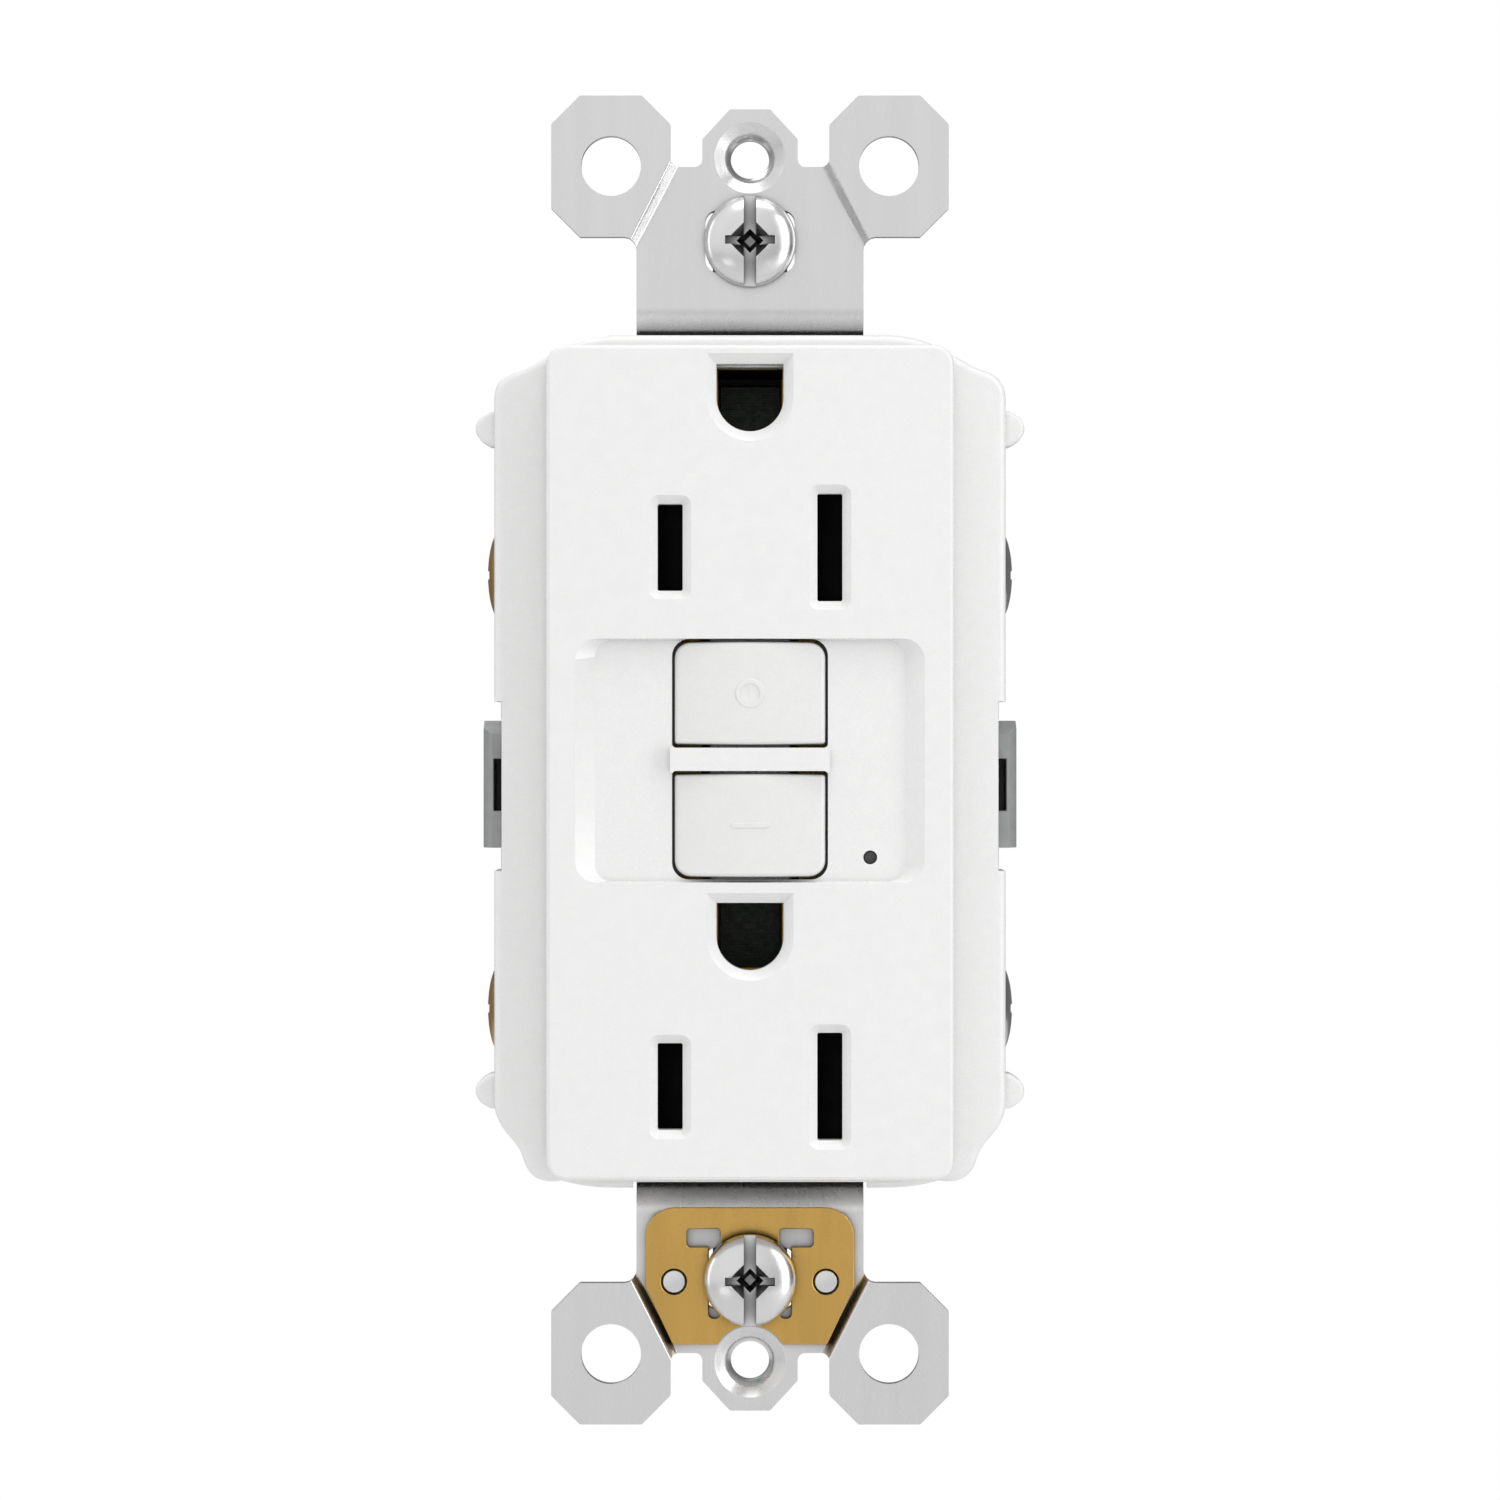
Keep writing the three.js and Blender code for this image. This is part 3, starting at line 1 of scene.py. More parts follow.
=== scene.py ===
"""Looks of a ground-fault duplex receptacle with a rectangular face.

The CAD frame gives every place. Sizes here are millimetres in the frame's axes: +X to the right
seen from the front, +Y into the wall, +Z up. The origin is the middle of the device on the wall.
"""

import json
import math

import bmesh
import bpy
from mathutils import Matrix, Vector

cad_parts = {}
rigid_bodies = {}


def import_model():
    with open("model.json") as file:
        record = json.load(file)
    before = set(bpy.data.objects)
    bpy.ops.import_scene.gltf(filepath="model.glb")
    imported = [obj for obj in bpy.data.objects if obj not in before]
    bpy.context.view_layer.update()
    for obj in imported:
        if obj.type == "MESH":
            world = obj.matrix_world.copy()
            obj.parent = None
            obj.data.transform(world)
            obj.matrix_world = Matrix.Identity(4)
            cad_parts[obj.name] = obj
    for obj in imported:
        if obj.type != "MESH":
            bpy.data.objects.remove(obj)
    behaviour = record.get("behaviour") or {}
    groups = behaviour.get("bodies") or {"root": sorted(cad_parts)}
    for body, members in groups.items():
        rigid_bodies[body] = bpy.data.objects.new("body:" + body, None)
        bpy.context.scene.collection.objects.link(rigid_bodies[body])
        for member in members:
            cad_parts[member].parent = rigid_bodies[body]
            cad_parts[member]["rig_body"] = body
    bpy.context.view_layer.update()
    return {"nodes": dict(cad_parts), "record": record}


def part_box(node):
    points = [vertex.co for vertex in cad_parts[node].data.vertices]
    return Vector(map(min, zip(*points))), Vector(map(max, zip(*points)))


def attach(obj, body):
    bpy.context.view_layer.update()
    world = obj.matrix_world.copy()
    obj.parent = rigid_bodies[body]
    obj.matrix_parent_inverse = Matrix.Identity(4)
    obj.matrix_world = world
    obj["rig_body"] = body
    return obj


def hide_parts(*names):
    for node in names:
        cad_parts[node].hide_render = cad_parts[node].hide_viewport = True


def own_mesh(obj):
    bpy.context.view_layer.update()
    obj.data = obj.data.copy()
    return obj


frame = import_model()

MM = 0.001
TAU = 2 * math.pi


def corner_mm(node, index):
    """The lowest (0) or highest (1) corner of a CAD node, in millimetres."""
    return Vector(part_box(node)[index]) / MM


def middle_mm(node):
    return (corner_mm(node, 0) + corner_mm(node, 1)) / 2


# ------------------------------------------------------------------ outlines


def arc(centre, radius, start, end, steps):
    """Points on an arc, angles in degrees from +u towards +v."""
    turns = [math.radians(start + (end - start) * i / steps) for i in range(steps + 1)]
    return [(centre[0] + radius * math.cos(a), centre[1] + radius * math.sin(a)) for a in turns]


def curve(start, control, end, steps=8):
    """Points on a quadratic curve, the start left out."""
    points = []
    for i in range(1, steps + 1):
        t = i / steps
        weights = ((1 - t) ** 2, 2 * t * (1 - t), t * t)
        points.append(tuple(
            weights[0] * start[k] + weights[1] * control[k] + weights[2] * end[k] for k in (0, 1)
        ))
    return points


def rounded(corners, steps=6):
    """A polygon from corners (u, v, radius), each rounded by its own radius."""
    points = []
    for i, (u, v, radius) in enumerate(corners):
        here = Vector((u, v))
        if radius == 0:
            points.append((u, v))
            continue
        before = (Vector(corners[i - 1][:2]) - here).normalized()
        after = (Vector(corners[(i + 1) % len(corners)][:2]) - here).normalized()
        half = before.angle(after) / 2
        centre = here + (before + after).normalized() * radius / math.sin(half)
        first = here + before * radius / math.tan(half) - centre
        last = here + after * radius / math.tan(half) - centre
        start = math.degrees(math.atan2(first.y, first.x))
        sweep = (math.degrees(math.atan2(last.y, last.x)) - start + 180) % 360 - 180
        points += arc(centre, radius, start, start + sweep, steps)
    return points


def rectangle(u0, u1, v0, v1, radius=0.0, steps=6):
    """A rectangle; radius is one number or four, from the low corner round against the clock."""
    radii = radius if isinstance(radius, (list, tuple)) else [radius] * 4
    places = [(u0, v0), (u1, v0), (u1, v1), (u0, v1)]
    return rounded([(u, v, r) for (u, v), r in zip(places, radii)], steps)


def mirrored(points):
    """The outline of a whole piece from its right half, which runs from top to bottom."""
    left = [(-u, v) for u, v in reversed(points) if abs(u) > 1e-6]
    return list(points) + left


def inset(points, distance):
    """The outline with each side moved inwards by distance, or outwards where it is negative."""
    count = len(points)
    area = sum(
        points[i][0] * points[(i + 1) % count][1] - points[(i + 1) % count][0] * points[i][1]
        for i in range(count)
    )
    side = 1 if area > 0 else -1
    moved = []
    for i, (u, v) in enumerate(points):
        before = (Vector((u, v)) - Vector(points[i - 1])).normalized()
        after = (Vector(points[(i + 1) % count]) - Vector((u, v))).normalized()
        normal = Vector((-before.y - after.y, before.x + after.x)) * side
        length = normal.length
        normal = normal.normalized() * distance * 2 / max(length, 0.6)
        moved.append((u + normal.x, v + normal.y))
    return moved


# ------------------------------------------------------------------ solids

AXES = {
    "x": lambda u, v, w: (w, u, v),
    "y": lambda u, v, w: (u, w, v),
    "z": lambda u, v, w: (u, v, w),
}


def new_object(name, points, faces):
    """A mesh object whose points are in millimetres."""
    mesh = bpy.data.meshes.new(name)
    mesh.from_pydata([Vector(p) * MM for p in points], [], faces)
    shape = bmesh.new()
    shape.from_mesh(mesh)
    bmesh.ops.remove_doubles(shape, verts=shape.verts, dist=1e-8)
    bmesh.ops.recalc_face_normals(shape, faces=shape.faces)
    shape.to_mesh(mesh)
    shape.free()
    made = bpy.data.objects.new(name, mesh)
    bpy.context.scene.collection.objects.link(made)
    return made


def loft(loops, axis="y"):
    """A closed solid through outlines that have the same number of points: [(outline, station)]."""
    to_frame = AXES[axis]
    count = len(loops[0][0])
    points = [to_frame(u, v, station) for outline, station in loops for u, v in outline]
    faces = [list(range(count)), list(range(len(points) - count, len(points)))]
    for level in range(len(loops) - 1):
        for i in range(count):
            j = (i + 1) % count
            low, high = level * count, (level + 1) * count
            faces.append([low + i, low + j, high + j, high + i])
    return new_object("solid", points, faces)


def rim(soft, steps):
    """A rounded rim as (way in from the end face, inset) pairs, from the end face inwards."""
    turns = [math.pi / 2 * (1 - i / steps) for i in range(steps + 1)]
    return [(soft * (1 - math.sin(a)), soft * (1 - math.cos(a))) for a in turns]


def prism(outline, start, end, soft_start=0.0, soft_end=0.0, axis="y", steps=4):
    """An outline pushed along an axis, with the rims at its two ends rounded."""
    first = rim(soft_start, steps) if soft_start else [(0.0, 0.0)]
    last = rim(soft_end, steps) if soft_end else [(0.0, 0.0)]
    stations = [(start + way, way_in) for way, way_in in first]
    stations += [(end - way, way_in) for way, way_in in reversed(last)]
    return loft([(inset(outline, way_in), station) for station, way_in in stations], axis)


def block(x0, x1, y0, y1, z0, z1):
    return prism(rectangle(x0, x1, z0, z1), y0, y1)


def turned(profile, axis="y", centre=(0, 0, 0), sides=48):
    """A solid of revolution; profile is (radius, station) pairs that start and end on the axis."""
    to_frame = AXES[axis]
    base = Vector(centre)
    points, faces, rings = [], [], []
    for radius, station in profile:
        ring = []
        for i in range(1 if radius == 0 else sides):
            angle = TAU * i / sides
            place = to_frame(radius * math.cos(angle), radius * math.sin(angle), station)
            points.append(base + Vector(place))
            ring.append(len(points) - 1)
        rings.append(ring)
    for a, b in zip(rings, rings[1:]):
        for i in range(sides):
            j = (i + 1) % sides
            if len(a) == 1 and len(b) == 1:
                break
            if len(a) == 1:
                faces.append([a[0], b[j], b[i]])
            elif len(b) == 1:
                faces.append([a[i], a[j], b[0]])
            else:
                faces.append([a[i], a[j], b[j], b[i]])
    return new_object("solid", points, faces)


def rod(radius, start, end, axis="y", centre=(0, 0, 0), sides=40, soft=0.0):
    profile = [(0, start), (radius - soft, start), (radius, start + soft)]
    profile += [(radius, end - soft), (radius - soft, end), (0, end)]
    if soft == 0:
        profile = [(0, start), (radius, start), (radius, end), (0, end)]
    return turned(profile, axis, centre, sides)


def combine(base, add=(), cut=()):
    """base joined with the solids in add, then with the solids in cut taken away."""
    for tools, operation in ((add, "UNION"), (cut, "DIFFERENCE")):
        for tool in tools:
            step = base.modifiers.new(operation, "BOOLEAN")
            step.operation = operation
            step.solver = "MANIFOLD"
            step.object = tool
    graph = bpy.context.evaluated_depsgraph_get()
    graph.update()
    mesh = bpy.data.meshes.new_from_object(base.evaluated_get(graph))
    base.modifiers.clear()
    old = base.data
    base.data = mesh
    bpy.data.meshes.remove(old)
    for tool in (*add, *cut):
        tool_mesh = tool.data
        bpy.data.objects.remove(tool)
        bpy.data.meshes.remove(tool_mesh)
    return base


def moved(piece, offset):
    piece.data.transform(Matrix.Translation(Vector(offset) * MM))
    return piece


def tidied(piece):
    """Merges the slivers that cutting leaves on flat faces."""
    shape = bmesh.new()
    shape.from_mesh(piece.data)
    bmesh.ops.remove_doubles(shape, verts=shape.verts, dist=2e-6)
    bmesh.ops.dissolve_degenerate(shape, edges=shape.edges, dist=1e-6)
    bmesh.ops.dissolve_limit(
        shape, angle_limit=math.radians(0.6), use_dissolve_boundaries=False,
        verts=shape.verts, edges=shape.edges,
    )
    shape.to_mesh(piece.data)
    shape.free()
    return piece


def soften(piece, width=0.1, segments=2, angle=32, crease=None):
    """Small rounds on the sharp edges and even shading, as modifiers that leave the mesh alone."""
    for polygon in piece.data.polygons:
        polygon.use_smooth = True
    if crease:
        piece.data.set_sharp_from_angle(angle=math.radians(crease))
    weld = piece.modifiers.new("weld", "WELD")
    weld.merge_threshold = 2e-6
    if width:
        bevel = piece.modifiers.new("edge", "BEVEL")
        bevel.width = width * MM
        bevel.segments = segments
        bevel.limit_method = "ANGLE"
        bevel.angle_limit = math.radians(angle)
        bevel.miter_outer = "MITER_ARC"
    even = piece.modifiers.new("even", "WEIGHTED_NORMAL")
    even.weight = 60
    even.keep_sharp = bool(crease)
    return piece


def dress(piece, name, look, nodes, width=0.1, crease=None):
    """Names a finished piece, gives it a material and puts it in place of its CAD nodes."""
    piece.name = name
    piece.data.name = name
    piece.data.materials.clear()
    piece.data.materials.append(look)
    soften(tidied(piece), width, crease=crease)
    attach(piece, frame["nodes"][nodes[0]]["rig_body"])
    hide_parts(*nodes)
    return piece


# ------------------------------------------------------------------ materials


class Look:
    """A node material built round one Principled shader, with coordinates in millimetres."""

    def __init__(self, name, **direct):
        self.material = bpy.data.materials.new(name)
        self.material.use_nodes = True
        self.tree = self.material.node_tree
        self.shader = self.tree.nodes["Principled BSDF"]
        for socket, value in direct.items():
            self.shader.inputs[socket.replace("_", " ")].default_value = value
        self.place = self.add("ShaderNodeTexCoord").outputs["Object"]

    def add(self, kind, **settings):
        node = self.tree.nodes.new(kind)
        for key, value in settings.items():
            setattr(node, key, value)
        return node

    def link(self, output, node, socket):
        self.tree.links.new(output, node.inputs[socket])

    def scaled(self, stretch):
        mapping = self.add("ShaderNodeMapping")
        mapping.inputs["Scale"].default_value = [s / MM for s in stretch]
        self.link(self.place, mapping, "Vector")
        return mapping.outputs["Vector"]

    def noise(self, scale, stretch=(1, 1, 1), detail=3.0):
        node = self.add("ShaderNodeTexNoise")
        node.inputs["Scale"].default_value = scale
        node.inputs["Detail"].default_value = detail
        self.link(self.scaled(stretch), node, "Vector")
        return node.outputs["Fac"]

    def spread(self, factor, low, high):
        node = self.add("ShaderNodeMapRange")
        node.inputs["From Min"].default_value = 0.3
        node.inputs["From Max"].default_value = 0.7
        node.inputs["To Min"].default_value = low
        node.inputs["To Max"].default_value = high
        self.link(factor, node, "Value")
        return node.outputs["Result"]

    def tint(self, factor, first, second):
        ramp = self.add("ShaderNodeValToRGB")
        ramp.color_ramp.elements[0].position = 0.35
        ramp.color_ramp.elements[1].position = 0.65
        ramp.color_ramp.elements[0].color = (*first, 1)
        ramp.color_ramp.elements[1].color = (*second, 1)
        self.link(factor, ramp, "Fac")
        return ramp.outputs["Color"]

    def painted_recess_shade(self, color, distance, darkest, open_at=0.62):
        """Paints shade into the colour where the surface is closed in, such as in a recess or a gap:
        painted shade, read from ambient occlusion.
        """
        painted_shade = self.add("ShaderNodeAmbientOcclusion", samples=8)
        painted_shade.inputs["Distance"].default_value = distance * MM
        ramp = self.add("ShaderNodeMapRange", interpolation_type="SMOOTHSTEP")
        ramp.inputs["From Min"].default_value = 0.12
        ramp.inputs["From Max"].default_value = open_at
        ramp.inputs["To Min"].default_value = darkest
        ramp.inputs["To Max"].default_value = 1.0
        self.link(painted_shade.outputs["AO"], ramp, "Value")
        shaded = self.add("ShaderNodeVectorMath", operation="SCALE")
        self.link(color, shaded, "Vector")
        self.link(ramp.outputs["Result"], shaded, "Scale")
        return shaded.outputs["Vector"]

    def bump(self, height, depth):
        node = self.add("ShaderNodeBump")
        node.inputs["Strength"].default_value = 1.0
        node.inputs["Distance"].default_value = depth * MM
        self.link(height, node, "Height")
        self.link(node.outputs["Normal"], self.shader, "Normal")


def shade(color, factor):
    return tuple(min(1.0, c * factor) for c in color)


def surface(name, color, roughness, grain, depth, stretch=(1, 1, 1), variation=0.03, painted_shade=None, **direct):
    """A finish whose colour, gloss and relief vary with noise of `grain` cycles per millimetre; a shade
    setting adds painted shade to the colour in recesses and gaps.
    """
    look = Look(name, **direct)
    cloudy = look.noise(grain * 0.12, stretch)
    fine = look.noise(grain, stretch)
    pale, dark = shade(color, 1 + variation), shade(color, 1 - variation)
    tinted = look.tint(cloudy, dark, pale)
    # Painted shade: the colour is darkened in recesses, slots and gaps between parts.
    if painted_shade:
        tinted = look.painted_recess_shade(tinted, *painted_shade)
    look.link(tinted, look.shader, "Base Color")
    look.link(look.spread(fine, roughness * 0.86, roughness * 1.14), look.shader, "Roughness")
    look.bump(fine, depth)
    return look


def board_look():
    """Green solder mask with fine copper tracks under it."""
    look = Look("board", Specular_IOR_Level=0.5)
    tracks = look.add("ShaderNodeTexBrick")
    tracks.inputs["Scale"].default_value = 0.55
    tracks.inputs["Mortar Size"].default_value = 0.035
    tracks.inputs["Color1"].default_value = (0.01, 0.05, 0.022, 1)
    tracks.inputs["Color2"].default_value = (0.012, 0.06, 0.026, 1)
    tracks.inputs["Mortar"].default_value = (0.02, 0.1, 0.035, 1)
    turn = look.add("ShaderNodeMapping")
    turn.inputs["Rotation"].default_value = (math.pi / 2, 0, 0)
    turn.inputs["Scale"].default_value = (1 / MM,) * 3
    look.link(look.place, turn, "Vector")
    look.link(turn.outputs["Vector"], tracks, "Vector")
    look.link(tracks.outputs["Color"], look.shader, "Base Color")
    look.link(look.spread(look.noise(2.0), 0.3, 0.42), look.shader, "Roughness")
    look.bump(tracks.outputs["Fac"], 0.02)
    return look.material


def winding_look():
    """Enamelled copper wire, laid side by side round a vertical bobbin."""
    look = Look("copper_winding", Metallic=1.0)
    turns = look.add("ShaderNodeTexWave", wave_type="BANDS", bands_direction="Z")
    turns.inputs["Scale"].default_value = 1.6
    turns.inputs["Distortion"].default_value = 0.15
    look.link(look.scaled((1, 1, 1)), turns, "Vector")
    colors = look.tint(turns.outputs["Fac"], (0.32, 0.11, 0.04), (0.72, 0.32, 0.14))
    look.link(colors, look.shader, "Base Color")
    look.link(look.spread(look.noise(3.0), 0.25, 0.4), look.shader, "Roughness")
    look.bump(turns.outputs["Fac"], 0.09)
    return look.material


def make_looks():
    rolled = (1, 1, 0.06)
    finishes = {
        # Painted shade: the white plastic is darkened almost to black deep in slots, recesses and gaps.
        "white_plastic": surface(
            "white_plastic", (0.8, 0.8, 0.797), 0.26, 9.0, 0.0008, variation=0.01, painted_shade=(1.6, 0.02)),
        "grey_plastic": surface("grey_plastic", (0.29, 0.295, 0.297), 0.5, 7.0, 0.012, variation=0.06),
        "pale_plastic": surface("pale_plastic", (0.55, 0.56, 0.56), 0.5, 7.0, 0.008, variation=0.04),
        "dark_plastic": surface("dark_plastic", (0.012, 0.012, 0.013), 0.5, 7.0, 0.008, variation=0.2),
        # Painted shade: the strap's steel is darkened beside the screw heads, the clip and the bends.
        "galvanised_steel": surface(
            "galvanised_steel", (0.7, 0.7, 0.7), 0.3, 5.0, 0.0012, rolled, 0.015,
            painted_shade=(2.2, 0.3, 0.9), Metallic=1.0),
        # Painted shade: the screw steel is darkened in drive slots, recesses and threads.
        "bright_steel": surface(
            "bright_steel", (0.68, 0.68, 0.685), 0.24, 4.0, 0.0003, variation=0.02,
            painted_shade=(3.0, 0.05, 0.98), Metallic=1.0),
        # Painted shade: the brass is darkened in recesses and along the edges it meets.
        "brass": surface(
            "brass", (0.58, 0.36, 0.1), 0.3, 5.0, 0.003, rolled, 0.05, painted_shade=(2.2, 0.3, 0.9), Metallic=1.0),
        "green_steel": surface(
            "green_steel", (0.05, 0.3, 0.11), 0.3, 4.0, 0.004, variation=0.1, Metallic=0.85),
        "copper": surface("copper", (0.72, 0.36, 0.2), 0.3, 5.0, 0.003, variation=0.08, Metallic=1.0),
        "clear_plastic": surface(
            "clear_plastic", (0.8, 0.86, 0.8), 0.08, 3.0, 0.001, variation=0.02,
            Transmission_Weight=0.85, IOR=1.49),
        # Painted shade: the buttons' plastic is darkened almost to black in the gaps around and under them.
        "button_plastic": surface(
            "button_plastic", (0.76, 0.76, 0.755), 0.26, 9.0, 0.0008, variation=0.01, painted_shade=(1.6, 0.02)),
        # Painted shade as well as the shutters' own dark plastic: near black with almost no reflection, so
        # the slots read as deep shade.
        "dark_shutter_and_slot_shade": surface(
            "dark_shutter_and_slot_shade", (0.003, 0.003, 0.003), 0.8, 5.0, 0.004, variation=0.3,
            Specular_IOR_Level=0.05),
        "smoked_plastic": surface(
            "smoked_plastic", (0.02, 0.02, 0.02), 0.1, 3.0, 0.001, variation=0.1, Coat_Weight=0.6),
        "fibre": surface("fibre", (0.36, 0.27, 0.17), 0.85, 3.0, 0.03, (1, 1, 0.2), 0.2),
        "blue_ceramic": surface("blue_ceramic", (0.03, 0.12, 0.42), 0.35, 2.5, 0.02, variation=0.12),
    }
    made = {slot: look.material for slot, look in finishes.items()}
    made["board"] = board_look()
    made["winding"] = winding_look()
    return made


SLOT_OF = {part["node"]: part["material_slot"] for part in frame["record"]["subparts"]}
LOOKS = make_looks()

# ------------------------------------------------------------------ front cover

FACE_FRONT = corner_mm("front_cover", 0).y
PLATE = 2.4
BAY_FLOOR = FACE_FRONT + 0.95
FLANGE_FRONT = -1.8
COVER_BACK = corner_mm("front_cover", 1).y
COVER_TOP = corner_mm("front_cover", 1).z
COVER_BOTTOM = corner_mm("front_cover", 0).z - 0.2
COVER_SIDE = 20.5
FACE_SIDE, FACE_TOP, FACE_BOTTOM = 16.2, 33.0, -33.4
SNAP_TIP = corner_mm("front_cover", 1).x
OUTLET_Z = (16.9, -25.95)
GROUND_RISE = 11.9
GROUND_RADIUS = 2.667
GROUND_FLAT = 2.7
SLOT_LEAD, GROUND_LEAD = 0.7, 0.8
WALL = 1.5
BLADE_X = 6.35
BUTTON_SIDE = 6.2
BUTTONS = {"test_button": (0.98, 9.62), "reset_button": (-9.5, -0.86)}
BUTTON_CORNER, BUTTON_INNER_CORNER = 1.35, 0.35
SLOTS = [(-BLADE_X, 6.9), (BLADE_X, 8.55)]
SLOT_HALF_WIDTH = 1.0
BAY_SIDE, BAY_BOTTOM, BAY_TOP = 13.88, -9.75, 9.65
BAY_SLOPE, BAY_STEEP = 1.55, 0.13
SNAP_Z = 26.6
SCREW_PLACES = [(sx * 15.6, sz * 28.4) for sx in (-1, 1) for sz in (-1, 1)]
SCREW_HOLE, BOSS = 1.25, 2.5
INDICATOR, INDICATOR_RADIUS = (9.56, -7.74), 0.55
SIDE_NOTCH = {"x": 19.9, "bottom": -8.9, "top": 4.7}
STRAP_GAP, STRAP_RELIEF = (9.5, 32.2), (9.4, -33.8)
RAIL_SIDE, RAIL_HEIGHT, RAIL_OFFSETS = 10.4, 0.9, (5.2, -6.1)


def cover_outline():
    """The skirt's outline: rounded shoulders above and tapering ones below."""
    right = [(0, COVER_TOP), (11.1, COVER_TOP)]
    right += curve((11.1, COVER_TOP), (13.9, 33.95), (16.2, 32.5))
    right += [(17.6, 31.7)]
    right += curve((17.6, 31.7), (18.1, 31.35), (18.9, 31.16), 4)
    right += curve((18.9, 31.16), (COVER_SIDE, 30.6), (COVER_SIDE, 28.9))
    right += [(COVER_SIDE, -27.7)]
    right += curve((COVER_SIDE, -27.7), (20.4, -29.0), (19.1, -30.4))
    right += curve((19.1, -30.4), (18.3, -31.3), (18.1, -32.2), 5)
    right += curve((18.1, -32.2), (17.6, -33.72), (16.1, -33.78))
    right += curve((16.1, -33.78), (15.6, -33.82), (15.1, -33.72), 3)
    right += curve((15.1, -33.72), (13.2, COVER_BOTTOM), (10.9, COVER_BOTTOM), 6)
    right += [(0, COVER_BOTTOM)]
    return mirrored(right)


def button_outline(name, grow=0.0):
    """Large corners away from the bar between the buttons, and small ones beside it."""
    low, high = BUTTONS[name]
    gap = 0.2 - grow
    radii = [BUTTON_INNER_CORNER] * 2 + [BUTTON_CORNER] * 2
    if name == "reset_button":
        radii.reverse()
    side = BUTTON_SIDE - gap
    return rectangle(-side, side, low + gap, high - gap, radii, 8)


def flared(outline, lead):
    """A cutter for a hole in the face with a chamfered mouth."""
    return loft([
        (inset(outline, -lead - 0.6), FACE_FRONT - 0.6),
        (inset(outline, -lead), FACE_FRONT),
        (outline, FACE_FRONT + lead),
        (outline, FACE_FRONT + PLATE + 1),
    ])


def ground_outline(z):
    left, right = (-GROUND_RADIUS, z + GROUND_FLAT), (GROUND_RADIUS, z + GROUND_FLAT)
    return [left, *arc((0, z), GROUND_RADIUS, 180, 360, 28), right]


def outlet_cutters(z):
    slots = []
    for x, height in SLOTS:
        left, right = x - SLOT_HALF_WIDTH, x + SLOT_HALF_WIDTH
        outline = rectangle(left, right, z - height / 2, z + height / 2, 0.15, 3)
        slots.append(flared(outline, SLOT_LEAD))
    return [*slots, flared(ground_outline(z + GROUND_RISE), GROUND_LEAD)]


def bay_cutter():
    """The sunk bay: gently sloping at its two sides and steep above and below."""
    floor_side = BAY_SIDE - BAY_SLOPE
    mouth = rectangle(-BAY_SIDE, BAY_SIDE, BAY_BOTTOM, BAY_TOP, 1.7, 8)
    floor = rectangle(-floor_side, floor_side, BAY_BOTTOM + BAY_STEEP, BAY_TOP - BAY_STEEP, 1.3, 8)
    above = rectangle(-14.86, 14.86, -9.83, 9.73, 1.95, 8)
    return loft([(above, FACE_FRONT - 0.6), (mouth, FACE_FRONT), (floor, BAY_FLOOR)])


def snap_bump(side, z):
    """A small rounded catch on the skirt's side."""
    root = COVER_SIDE - 0.5
    half = [(root, 1.45), (COVER_SIDE + 0.35, 1.4)]
    half += curve((COVER_SIDE + 0.35, 1.4), (SNAP_TIP, 0.85), (SNAP_TIP, 0.0), 6)
    half += [(u, -v) for u, v in reversed(half[:-1])]
    return prism([(side * u, z + v) for u, v in half], -0.6, 2.6, 0.35, 0.2)


